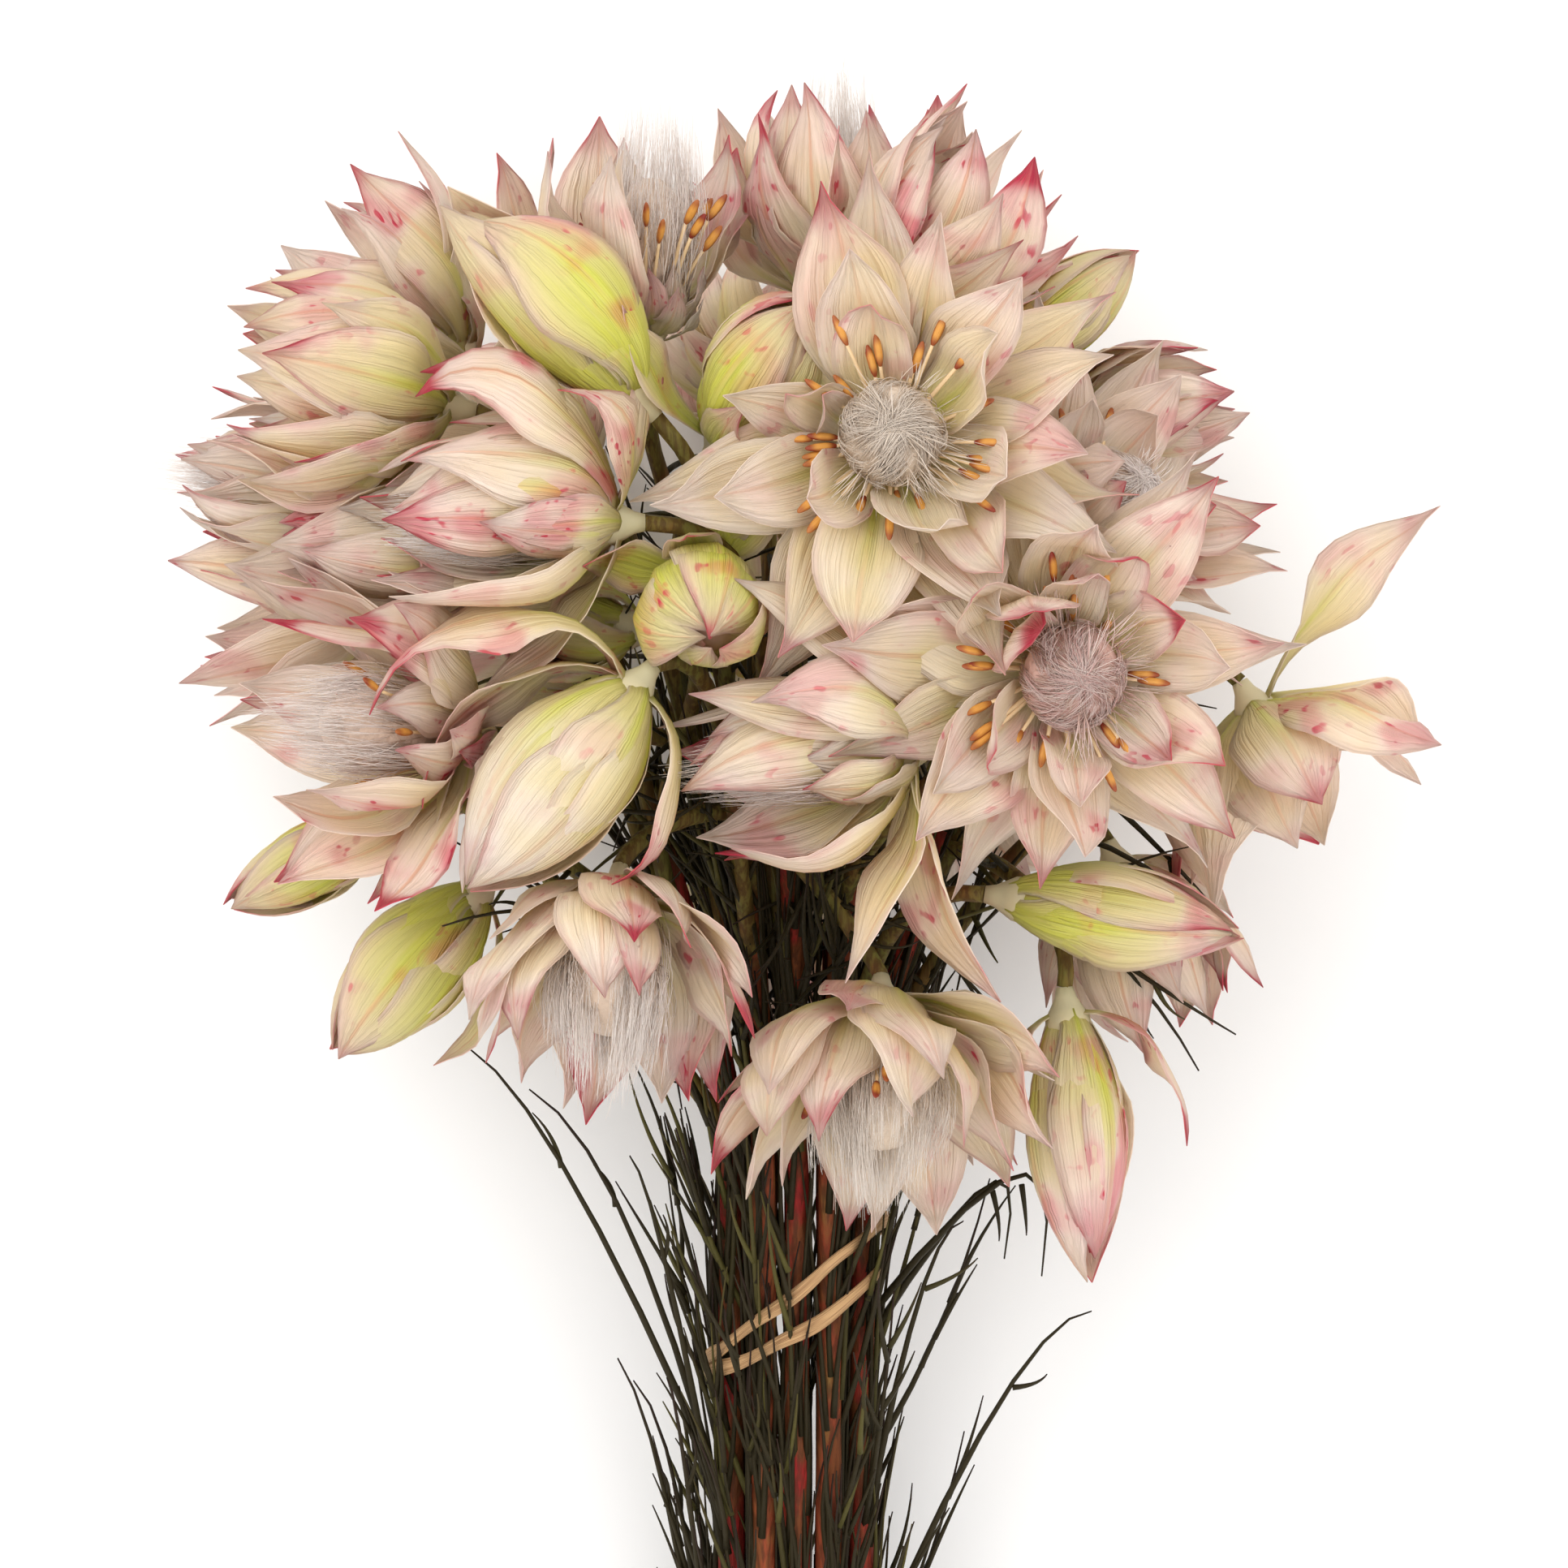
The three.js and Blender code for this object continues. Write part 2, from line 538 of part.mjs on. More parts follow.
// A needle leaf: thin and three-sided, from inside its stem through a bend to a point
function needle(root, bend, tip) {
  const first = bend.clone().sub(root).normalize();
  const second = tip.clone().sub(bend).normalize();
  return loft(
    [ring(root, first, NEEDLE_RADIUS, 3), ring(bend, first.add(second).normalize(), 0.9 * NEEDLE_RADIUS, 3)],
    { tip },
  );
}

function placeNeedle(stem, blade) {
  if (blade.boundingBox().min[2] < CLEARANCE || !isClear(stem.name, blade)) return false;
  stem.solids.push(place(stem.name, blade));
  return true;
}

// Needle leaves grow all the way up a stem, on the sides that the other stems leave free
function leafStem(stem, number) {
  const [column, row] = stem.place;
  const outwards = new THREE.Vector3(column, 0, row).normalize();
  const free = column || row ? Math.PI / 2 : Math.PI;
  const count = column || row ? NEEDLES_PER_STEM : NEEDLES_IN_MIDDLE;
  const start = column || row ? 0.03 : 0.72;
  for (let i = 0; i < count; i++) {
    const s = lerp(start, 0.97, (i + 0.5 * vary(number, i, 7)) / count);
    const along = stem.curve.getTangentAt(s);
    const root = stem.curve.getPointAt(s);
    const length = lerp(...NEEDLE_LENGTH, vary(number, i, 8));
    const side = free * (((i * 0.618) % 1) * 2 - 1);
    const lean = degToRad(lerp(14, 46, vary(number, i, 9)));
    for (const [turn, more] of NEEDLE_TRIES) {
      const out = outwards.clone().applyAxisAngle(along, side + degToRad(turn));
      out.addScaledVector(along, -out.dot(along)).normalize();
      const way = (angle) =>
        along.clone().multiplyScalar(Math.cos(angle)).addScaledVector(out, Math.sin(angle));
      const bend = root.clone().addScaledVector(way(lean + degToRad(more)), 0.5 * length);
      const tip = bend.clone().addScaledVector(way(0.45 * lean + degToRad(more)), 0.5 * length);
      if (placeNeedle(stem, needle(root, bend, tip))) break;
    }
  }
}

// The raffia tie: two turns of a flat strand round the bundle, aslant, that meet at the left
function raffiaTurn({ left, right }) {
  const { x, tieY, tieZ, endY, endZ } = BUNDLE;
  const middle = (left + right) / 2;
  const points = [];
  for (let i = 0; i < TIE.segments; i++) {
    const angle = (2 * Math.PI * i) / TIE.segments;
    const y = lerp(middle, right, Math.cos(angle));
    const z = lerp(tieZ, endZ, (y - tieY) / (endY - tieY));
    for (const [across, out] of [[1, -1], [1, 1], [-1, 1], [-1, -1]]) {
      points.push(
        new THREE.Vector3(
          x + (TIE.halfWidth + (out * TIE.thickness) / 2) * Math.cos(angle),
          y + (across * TIE.strand) / 2,
          z + (TIE.halfHeight + (out * TIE.thickness) / 2) * Math.sin(angle),
        ),
      );
    }
  }
  const faces = [];
  for (let i = 0; i < TIE.segments; i++) {
    const next = (i + 1) % TIE.segments;
    for (let k = 0; k < 4; k++) {
      const [a, b] = [4 * i + k, 4 * i + ((k + 1) % 4)];
      const [c, d] = [4 * next + ((k + 1) % 4), 4 * next + k];
      faces.push(a, c, b, a, d, c);
    }
  }
  const geometry = new THREE.BufferGeometry().setFromPoints(points);
  geometry.setIndex(faces);
  return solidOf(geometry);
}

// ---- The bunch ----

const group = new THREE.Group();

function addMesh(name, solid, material) {
  const { numProp, vertProperties, triVerts } = solid.getMesh();
  const geometry = new THREE.BufferGeometry();
  geometry.setAttribute("position", new THREE.BufferAttribute(vertProperties, numProp));
  geometry.setIndex(new THREE.BufferAttribute(triVerts, 1));
  geometry.computeVertexNormals();
  const mesh = new THREE.Mesh(geometry, material);
  mesh.name = name;
  group.add(mesh);
}

function coloured(name, color, roughness) {
  return new THREE.MeshStandardMaterial({ name, color, roughness, metalness: 0 });
}

const paper = coloured("bract", 0xf1e3d4, 0.6);
const down = coloured("floret_hair", 0xd8ccc8, 0.9);
const straw = coloured("raffia", 0xd9c08c, 0.7);
const bark = coloured("stem", 0x5b4a2c, 0.8);

for (const head of HEADS) {
  head.core = place(head.name, headCore(head));
  if (head.showsFlorets) head.florets = place(`${head.name}_florets`, tuft(head));
}
for (const stem of STEMS) {
  stem.forks = 0;
  stem.curve = stemCurve(stem);
  stem.curves = { [stem.name]: stem.curve };
  const rod = tube(stem.curve, [STEM_RADIUS, 0.8 * STEM_RADIUS], STEM_SIDES, STEM_STEPS);
  stem.solids = [place(stem.name, rod)];
}
for (const head of HEADS) placeStalk(STEMS[head.stem], head);
const tie = place("raffia_tie", whole(TIE_TURNS.map(raffiaTurn)));
for (const head of HEADS) {
  addMesh(head.name, headSolid(head), paper);
  if (head.showsFlorets) addMesh(`${head.name}_florets`, head.florets, down);
}
for (const [carrier, share, bend, tip] of LONE_NEEDLES) {
  const stem = STEMS.find(({ curves }) => curves[carrier]);
  const root = stem.curves[carrier].getPointAt(share);
  placeNeedle(stem, needle(root, new THREE.Vector3(...bend), new THREE.Vector3(...tip)));
}
STEMS.forEach(leafStem);
for (const stem of STEMS) addMesh(stem.name, whole(stem.solids), bark);
addMesh("raffia_tie", tie, straw);

group.position.set(-REST_SPOT.x, -REST_SPOT.y, 0);

export default group;
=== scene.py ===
"""A tied bunch of blushing bride (Serruria florida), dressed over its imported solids.

Lengths below are in millimetres, and become metres where a mesh is written. Papery bracts, hairy tufts of
florets, leafy stems and raffia are set out by rule from the same places as the solids they replace.
"""

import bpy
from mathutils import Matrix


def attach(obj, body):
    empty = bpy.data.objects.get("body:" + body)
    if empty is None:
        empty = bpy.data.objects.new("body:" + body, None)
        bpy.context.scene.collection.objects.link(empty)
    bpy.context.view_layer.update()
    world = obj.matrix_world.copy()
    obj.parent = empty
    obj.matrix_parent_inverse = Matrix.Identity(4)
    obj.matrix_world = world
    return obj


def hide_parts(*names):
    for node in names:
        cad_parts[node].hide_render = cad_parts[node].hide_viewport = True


bl_info = {
    "name": "Blushing Bride Bunch",
    "version": (1, 0, 0),
    "blender": (4, 5, 0),
    "location": "View3D > Sidebar > Blushing Bride",
    "description": "Dresses a tied bunch of blushing bride flowers",
    "category": "Object",
}

import math

import bmesh
import bpy
import numpy as np
from mathutils import Vector
from mathutils.bvhtree import BVHTree

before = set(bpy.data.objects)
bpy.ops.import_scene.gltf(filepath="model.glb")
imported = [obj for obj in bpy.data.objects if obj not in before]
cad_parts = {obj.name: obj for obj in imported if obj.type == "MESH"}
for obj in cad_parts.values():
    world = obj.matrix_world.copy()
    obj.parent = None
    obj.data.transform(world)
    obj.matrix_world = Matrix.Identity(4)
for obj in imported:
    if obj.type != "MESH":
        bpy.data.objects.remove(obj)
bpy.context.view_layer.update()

MM = 0.001
UP = np.array((0.0, 0.0, 1.0))
REST_SPOT = np.array((-0.47, 12.27, 0.0))  # where the lowest bud rests, before the bunch is moved
FLOOR_GAP = 0.25  # how far a thin shape stays above the surface that the bunch lies on
ASKEW = np.array((0.31, 0.52, 0.79))  # a direction that sets which way round a rod is turned

# How a bract leans from the head's axis, in degrees: opening, root, middle and tip
LEAN = np.array(
    (
        (-0.15, 24, -1, -26),
        (0.0, 34, 1, -28),
        (0.25, 72, 4, -30),
        (0.5, 76, 22, 8),
        (0.75, 78, 45, 38),
        (1.0, 82, 72, 78),
        (1.35, 88, 105, 135),
        (1.7, 92, 135, 190),
    )
)
BRACT_ROOT_RADIUS = 2.2
STRAY_ROOT_HEIGHT = 0.8
BRACT_ROLL = math.radians(16)
WIDEST_AT = 0.45
ROOT_WIDTH = 0.3
TIP_WIDTH = 0.008
CUP_LEAST = 0.3
CUP_MOST = 1.2
RIB_STEPS = 40
BENDS = (0, -0.08, 0.08, -0.16, 0.16, -0.26, 0.26, -0.4)

# Rings of bracts, from outside in: how many, change of opening, length and width as shares of the head's,
# root height, turn of the ring as a share of the gap between its bracts, and how blunt they are
WIDE_RINGS = (
    (7, 0.15, 1.14, 0.95, 0.8, 0.0, 0.0),
    (8, 0.02, 1.06, 1.08, 2.0, 0.5, 0.25),
    (7, -0.1, 0.88, 1.2, 3.2, 0.25, 0.7),
    (6, -0.24, 0.68, 1.3, 4.2, 0.1, 0.9),
)
OPEN_RINGS = (
    (4, 0.2, 0.9, 0.95, 0.6, 0.3, 0.1),
    (6, 0.06, 1.06, 1.08, 1.4, 0.0, 0.25),
    (5, -0.05, 1.08, 1.12, 2.6, 0.5, 0.4),
    (5, -0.15, 0.98, 1.05, 3.8, 0.15, 0.3),
)
LOOSE_RINGS = (
    (3, 0.12, 1.0, 1.5, 0.6, 0.1, 0.4),
    (3, 0.0, 1.1, 1.75, 1.4, 0.55, 0.5),
    (4, -0.15, 0.95, 1.5, 2.6, 0.2, 0.4),
)
BUD_RINGS = (
    (3, 0.03, 0.84, 1.3, 0.5, 0.5, 0.8),
    (3, 0.015, 0.97, 1.3, 1.2, 0.15, 0.6),
    (3, 0.0, 1.04, 1.2, 2.0, 0.0, 0.4),
    (3, -0.015, 1.0, 1.2, 2.8, 0.5, 0.4),
)
BUD_UNDER = 0.22
WIDE_OVER = 0.7

# The green base that carries a head's bracts: heights on the head's axis, and radii
STALK_END = -2.6
CUP_HEIGHTS = np.array((STALK_END, -1.2, 0.2, 1.4, 2.6, 4.2, 5.6, 6.4))
CUP_RADII = np.array((1.15, 1.5, 2.3, 3.0, 3.2, 2.8, 1.8, 0.6))

# The core that a bud's bracts are wrapped round, as shares of the bud's length
BUD_CORE_MIDDLE = 0.46
BUD_CORE_RISE = 0.4
BUD_CORE_GIRTH = 0.13
BUD_CORE_SWELL = 0.45  # for each opening

# An anther, and the flat lobe that carries it
ANTHER_LENGTH = 4.6
ANTHER_RADIUS = 0.64
LOBE_RADIUS = 0.2
LOBE_FLATNESS = 2.0
LOBE_ROOT = (3.6, 5.6)  # from the head's axis, and along it

# Flower heads: name, stem, base point, facing, bract length, opening, florets show, anthers, pink and green
HEADS = (
    ("open_head_upper_front", 2, (21.5, 21, 76), (0, 0.12, 1), 32, 0.85, True, 26, 0.15, 0.3),
    ("open_head_right_front", 6, (43, -8, 76), (0.18, -0.12, 0.97), 29.5, 0.85, True, 26, 0.4, 0.2),
    ("hanging_head_left", 0, (-14.9, -37, 70), (-0.05, -0.85, 0.5), 30, 0.52, True, 0, 0.35, 0.2),
    ("hanging_head_right", 1, (20.4, -52, 62), (0, -0.85, 0.5), 31, 0.58, True, 3, 0.3, 0.2),
    ("open_head_left", 4, (-34.1, -17, 66), (-0.85, 0.05, 0.5), 31, 0.6, True, 6, 0.6, 0.15),
    ("half_open_head_front", 2, (25.3, -19, 80), (-1, -0.12, 0.15), 31, 0.3, True, 0, 0.45, 0.2),
    ("half_open_head_left", 0, (-13.8, 11, 78), (-1, 0, 0.05), 33, 0.25, True, 0, 0.45, 0.2),
    ("bud_front", 0, (-11.6, -10, 82), (-0.63, -0.77, 0.08), 36, 0.06, False, 0, 0.06, 0.3),
    ("bud_centre", 1, (-3.5, 3, 72), (0.05, -0.35, 0.94), 22.5, 0.21, False, 0, 0.4, 1.0),
    ("bud_upper_left", 4, (-11.6, 27, 74), (-0.68, 0.7, 0.1), 36, -0.12, False, 0, 0.35, 0.8),
    ("bud_upper", 1, (-1.7, 22, 64), (0.5, 0.68, 0.5), 27, 0.08, False, 0, 0.2, 0.85),
    ("bud_left", 3, (-12.1, -3, 62), (-1, 0.12, 0.05), 23, -0.07, False, 0, 0.6, 0.6),
    ("open_head_top_left", 5, (-11.6, 36, 58), (0.05, 0.95, 0.25), 30, 0.5, True, 18, 0.3, 0.15),
    ("open_head_top", 5, (14.3, 42, 45), (0, 1, 0.05), 31, 0.5, True, 0, 0.35, 0.2),
    ("open_head_top_right", 6, (19.3, 39, 66), (0.5, 0.85, 0.1), 29, 0.4, False, 0, 0.6, 0.2),
    ("open_head_right_behind", 6, (44, 10, 58), (0.6, 0.35, 0.7), 28, 0.75, True, 16, 0.4, 0.1),
    ("half_open_head_upper_left", 4, (-36.9, 27, 64), (-1, 0.15, 0.1), 31, 0.33, False, 0, 0.35, 0.5),
    ("half_open_head_far_left", 3, (-33, 8, 58), (-1, 0, 0.15), 27, 0.4, False, 0, 0.35, 0.15),
    ("open_head_upper_left", 8, (-35.2, 34, 44), (-0.85, 0.47, 0.1), 30, 0.42, False, 0, 0.35, 0.2),
    ("half_open_head_left_edge", 3, (-48.4, 16, 48), (-1, 0.12, 0.05), 26, 0.35, True, 0, 0.4, 0.05),
    ("half_open_head_lower_left", 8, (-46.2, 3, 40), (-1, 0.05, 0), 30, 0.45, False, 0, 0.35, 0.05),
    ("bud_lower_left", 3, (-34.1, -38, 50), (-0.66, -0.75, 0), 29, 0.05, False, 0, 0.25, 0.75),
    ("bud_far_lower_left", 3, (-47.3, -29, 44), (-0.88, -0.47, 0), 24, -0.04, False, 0, 0.35, 0.75),
    ("bud_lower_right", 6, (36.9, -39, 64), (1, -0.15, 0.05), 32, -0.04, False, 0, 0.35, 0.6),
    ("bud_hanging_right", 7, (45.7, -54, 56), (0.1, -1, 0.05), 35, -0.08, False, 0, 0.45, 0.3),
    ("drooping_head_far_right", 7, (71, -12, 48), (0.45, -0.85, 0), 27, 0.6, False, 0, 0.45, 0.25),
    ("half_open_head_lower_right", 7, (52.8, -34, 42), (0.35, -0.9, -0.1), 25, 0.4, False, 0, 0.4, 0.1),
    ("bud_upper_right", 10, (36, 33, 48), (0.75, 0.62, 0.05), 25, -0.03, False, 0, 0.4, 0.8),
    ("half_open_head_far_right", 10, (43, 24, 44), (1, 0.12, 0), 25, 0.25, False, 0, 0.4, 0.3),
    ("back_head_upper_left", 8, (-22, 18, 24.2), (-0.6, 0.35, -0.7), 27, 0.3, False, 0, 0.4, 0.2),
    ("back_head_upper", 9, (5, 27, 25), (0, 0.75, -0.65), 28, 0.35, False, 0, 0.3, 0.2),
    ("back_head_upper_right", 10, (29, 12, 24.5), (0.7, 0.2, -0.68), 28, 0.3, False, 0, 0.5, 0.2),
    ("back_head_lower_left", 8, (-19.8, -11, 23.1), (-0.65, -0.3, -0.7), 27, 0.3, False, 0, 0.3, 0.2),
    ("back_head_lower_right", 10, (29, -17, 25), (0.6, -0.45, -0.66), 27, 0.3, False, 0, 0.4, 0.2),
    ("back_head_lower", 9, (3, -34, 13), (-0.1, -0.97, -0.05), 25, 0.3, False, 0, 0.5, 0.2),
    ("resting_bud", 9, (0, -10, 4.6), (0.1, 1, 0), 30, 0.0, False, 0, 0.3, 0.7),
)

LOOSE = {"drooping_head_far_right"}  # heads of few and broad bracts

# Where a head's bracts are short or missing: which way, how far to each side in degrees, and their length
# as a share
NOOKS = {
    "open_head_upper_front": ((-0.85, 0.52, 0), 38, 0.66),
    "open_head_top_left": ((0.5, 0, 0.86), 56, 0.34),
    "open_head_left": ((-0.2, 0, 1), 34, 0.62),
    "hanging_head_left": ((0, 0.5, 1), 30, 0.92),
    "half_open_head_front": ((0, -0.45, 0.9), 38, 0.55),
    "half_open_head_left": ((0, -0.4, 0.9), 26, 0.66),
}

# Bracts that stand away from their heads: head, which way, leans at root, middle and tip in degrees, length,
# width as a share of the usual, and twist in degrees
STRAYS = (
    ("bud_front", (-0.9, 0.7, 0.3), (125, 42, -6), 43, 0.85, 12),
    ("bud_front", (-0.8, 0.6, -0.3), (80, 25, -35), 38, 0.8, 10),
    ("bud_front", (0.77, -0.63, 0.15), (95, 36, -10), 30, 1.0, -12),
    ("bud_centre", (-1, 0.6, -0.4), (105, 70, 40), 19, 1.1, 15),
    ("bud_centre", (0.2, 1, -0.4), (95, 55, 30), 18, 1.1, -10),
    ("bud_centre", (0.5, 1, 0.1), (84, 50, 36), 21, 1.2, 8),
    ("bud_centre", (-0.2, 1, 0.4), (66, 28, 20), 16, 1.3, -8),
    ("half_open_head_left", (-0.1, 1, 0.5), (72, 60, -48), 38, 0.9, 12),
    ("half_open_head_left", (0, 1, 0), (78, 50, -28), 37, 0.9, 0),
    ("half_open_head_left", (0.1, 1, 0.6), (112, 88, -10), 24, 1.2, -15),
    ("half_open_head_front", (0, 1, 0.3), (85, 15, 26), 34, 0.95, 10),
    ("half_open_head_front", (0, 0.8, 0.7), (62, 4, 14), 33, 0.9, -6),
    ("half_open_head_front", (0, -1, 0.35), (85, 55, 48), 33, 1.0, 12),
    ("half_open_head_front", (0.3, -1, 0), (94, 118, 128), 34, 1.5, -14),
    ("half_open_head_upper_left", (0, 1, 0.5), (110, 140, 150), 19, 1.2, 10),
    ("bud_upper", (-1, 0.2, 0.4), (86, 64, 52), 27, 0.9, 12),
    ("bud_upper", (-0.6, -0.8, 0.3), (70, 30, 20), 20, 1.0, 0),
    ("half_open_head_left", (0.5, 1, -0.2), (118, 120, 60), 24, 1.1, 10),
    ("bud_hanging_right", (1, 0, 0.2), (85, 22, -12), 26, 0.9, 14),
    ("bud_hanging_right", (-1, 0, 0.1), (82, 24, -12), 24, 0.9, -8),
    ("drooping_head_far_right", (0.88, 0.47, 0.1), (130, 108, 90), 36, 0.75, 150),
    ("bud_lower_left", (0.7, -0.7, 0), (70, 14, -16), 26, 0.9, 0),
)

# How pink and blotched a head's stray bracts are, where that isn't as its other bracts
STRAY_PINKS = {
    "bud_front": 0.75,
    "half_open_head_left": 0.8,
    "half_open_head_upper_left": 0.9,
    "bud_centre": 0.55,
    "bud_hanging_right": 0.7,
}

# How pink and how cream the hairs of each tuft are
HAIR_TONES = {
    "open_head_upper_front": (0.08, 0.6),
    "open_head_right_front": (0.95, 0),
    "open_head_right_behind": (0.35, 0),
    "hanging_head_left": (0.2, 0),
    "hanging_head_right": (0.08, 0.3),
    "open_head_left": (0.35, 0),
    "half_open_head_front": (0.4, 0),
    "half_open_head_left": (0.2, 0),
    "open_head_top_left": (0.25, 0),
    "open_head_top": (0.2, 0),
    "half_open_head_left_edge": (0.3, 0),
}

# The bundle of stems, and each leafy stem's place in it and the point that it forks at
BUNDLE_X, TIE_Y, TIE_Z, END_Y, END_Z = 9, -96, 31, -212, 7.2
STEM_GAP = 4.6
STEMS = (
    ("leafy_stem_top_left", (-1, 1), (2, -26, 54)),
    ("leafy_stem_top_middle", (0, 1), (8, -30, 57)),
    ("leafy_stem_top_right", (1, 1), (16.5, -25, 56)),
    ("leafy_stem_far_left", (-2, 0), (-10, -30, 42)),
    ("leafy_stem_left", (-1, 0), (-5, -18, 47)),
    ("leafy_stem_middle", (0, 0), (8, -16, 46)),
    ("leafy_stem_right", (1, 0), (20, -20, 47)),
    ("leafy_stem_far_right", (2, 0), (29, -30, 43)),
    ("leafy_stem_bottom_left", (-1, -1), (-3, -24, 33)),
    ("leafy_stem_bottom_middle", (0, -1), (6, -26, 31)),
    ("leafy_stem_bottom_right", (1, -1), (15, -24, 33)),
)
FORK_STEP = 0.07
LAST_FORK = 0.985
NEEDLE_LOWEST = 1.4  # a needle's bend and tip stay this far above the surface
FORK_SHIFTS = (0, -0.03, 0.03, -0.06, 0.06)
SWINGS = (
    (0, 0, 0), (0, 0, -3), (0, 0, 3), (3, 0, 0), (-3, 0, 0), (0, 0, -6), (0, 0, 6), (6, 0, 0), (-6, 0, 0),
    (0, -8, -5), (0, 8, -8), (8, 0, -8), (-8, 0, -8), (0, 0, -12), (12, 0, -6), (-12, 0, -6), (0, 0, 12),
    (12, 6, 0), (-12, 6, 0),
)  # fmt: skip

# Needle leaves that stand out on their own: what they grow on, how far along it, bend and tip
LONE_NEEDLES = (
    ("leafy_stem_far_right", 0.34, (38, -106, 34), (50, -97, 36)),
    ("leafy_stem_far_left", 0.47, (-22, -76, 45), (-36, -60, 48)),
    ("leafy_stem_far_left", 0.45, (-14, -82, 38), (-28, -66, 40)),
    ("leafy_stem_far_left", 0.4, (-9, -88, 42), (-14, -75, 44)),
    ("leafy_stem_far_left", 0.16, (-8, -125, 28), (-16, -104, 30)),
    ("leafy_stem_far_left", 0.14, (-6, -126, 22), (-14, -108, 20)),
    ("leafy_stem_far_left", 0.19, (-6, -120, 34), (-9, -106, 38)),
    ("leafy_stem_far_right", 0.44, (26, -92, 40), (32, -84, 44)),
    ("leafy_stem_far_right", 0.62, (42, -72, 42), (43, -92, 38)),
    ("leafy_stem_far_right", 0.6, (38, -74, 36), (38, -90, 32)),
    ("drooping_head_far_right", 0.5, (60, -33, 40), (70, -45, 36)),
    ("drooping_head_far_right", 0.3, (56, -33, 52), (66, -45, 53)),
    ("bud_hanging_right", 0.6, (56, -50, 55), (69, -58, 52)),
    ("bud_hanging_right", 0.4, (54, -48, 54), (64, -63, 51)),
    ("leafy_stem_top_right", 0.94, (12, -4, 62), (20, 3, 66)),
    ("leafy_stem_top_right", 0.92, (18, -6, 62), (23, -1, 68)),
    ("leafy_stem_far_left", 0.93, (-26, -40, 58), (-39, -43, 62)),
)

# The raffia tie: half its width and height, and where each turn passes the bundle's left and right
TIE_HALF_WIDTH = 12.6
TIE_HALF_HEIGHT = 8.9
TIE_TURNS = ((-104.5, -84.5), (-105.5, -90))
TIE_SAGS = (-0.6, 2.2)  # how far each turn sags towards the cut ends on its way across


def paint(red, green, blue):
    """A colour as a screen shows it, from 0 to 255, as the linear numbers that Blender keeps."""
    shares = [c / 255 for c in (red, green, blue)]
    return tuple(s / 12.92 if s <= 0.04045 else ((s + 0.055) / 1.055) ** 2.4 for s in shares)


def colour_prop(name, description, shade):
    return bpy.props.FloatVectorProperty(
        name=name, description=description, default=shade, subtype="COLOR", size=3, min=0, max=1
    )


def length_prop(name, description, millimetres):
    return bpy.props.FloatProperty(
        name=name, description=description, default=millimetres * MM, unit="LENGTH", precision=5, min=0
    )


def share_prop(name, description, share):
    return bpy.props.FloatProperty(
        name=name, description=description, default=share, subtype="FACTOR", min=0, max=1
    )


def count_prop(name, description, count):
    return bpy.props.IntProperty(name=name, description=description, default=count, min=0)


class BractSettings(bpy.types.PropertyGroup):
    """The papery bracts of the flower heads."""

    half_width: share_prop("Half Width", "Half a bract's width as a share of its length", 0.2)
    thickness: length_prop("Thickness", "Thickness of a bract", 0.14)
    wave: length_prop("Edge Wave", "How far a bract's edges wave", 0.7)
    cream: colour_prop("Cream", "Warmest parts of an open bract", paint(250, 237, 196))
    ivory: colour_prop("Ivory", "Palest parts of an open bract", paint(254, 247, 238))
    blush: colour_prop("Blush", "Pink flush", paint(252, 216, 212))
    crimson: colour_prop("Crimson", "Spots and bract tips", paint(204, 26, 72))
    green: colour_prop("Green", "Buds, midribs and bract bases", paint(216, 218, 92))
    # Gold is the warm colour of a bract's base, deepened to stand for the warm painted shade in the crevices
    # among the bract roots
    gold_and_crevice_shade: colour_prop("Gold", "Warm base of an open bract", paint(246, 220, 144))
    rust: colour_prop("Rust", "Orange end of a bract's streak", paint(232, 150, 110))
    light: colour_prop("Light Through", "Light that comes through a bract", paint(255, 238, 220))
    see_through: share_prop("See Through", "Share of light that a bract lets through", 0.38)


class TuftSettings(bpy.types.PropertyGroup):
    """The hairy tufts of florets, and their anthers."""

    hairs: count_prop("Hairs", "Hairs of each tuft", 720)
    hair_radius: length_prop("Hair Radius", "Radius of a hair at its root", 0.082)
    silver: colour_prop("Silver", "Palest hairs", paint(255, 252, 248))
    mauve: colour_prop("Mauve", "Pinkest hairs", paint(214, 164, 156))
    # Core is painted shade among the hair roots, and also the cream that the creamiest tufts' hairs are mixed
    # towards
    core: colour_prop("Core", "Shade among the roots of the hairs", paint(226, 208, 186))
    anther: colour_prop("Anther", "Body of an anther", paint(236, 172, 78))
    anther_end: colour_prop("Anther End", "Ends and edges of an anther", paint(134, 34, 20))
    filament: colour_prop("Filament", "Floret lobes that carry the anthers", paint(240, 216, 176))


class StemSettings(bpy.types.PropertyGroup):
    """The stems, flower stalks and needle leaves."""

    stem_radius: length_prop("Stem Radius", "Radius of a stem at its cut end", 2.05)
    stalk_radius: length_prop("Stalk Radius", "Radius of a flower stalk", 1.15)
    needle_radius: length_prop("Needle Radius", "Radius of a needle leaf", 0.56)
    leaves: count_prop("Leaves", "Divided leaves of each stem", 14)
    pressed: count_prop("Pressed Leaves", "Needles along each stem", 50)
    bark: colour_prop("Bark", "Brown of a stem", paint(120, 66, 34))
    bark_red: colour_prop("Red Bark", "Red of a stem", paint(160, 36, 36))
    bark_green: colour_prop("Green Bark", "Green of a stem or stalk", paint(112, 106, 50))
    needle: colour_prop("Needle", "Dark olive of a needle leaf", paint(44, 37, 17))
    needle_tip: colour_prop("Needle Tip", "Brown tip of a needle leaf", paint(40, 24, 16))


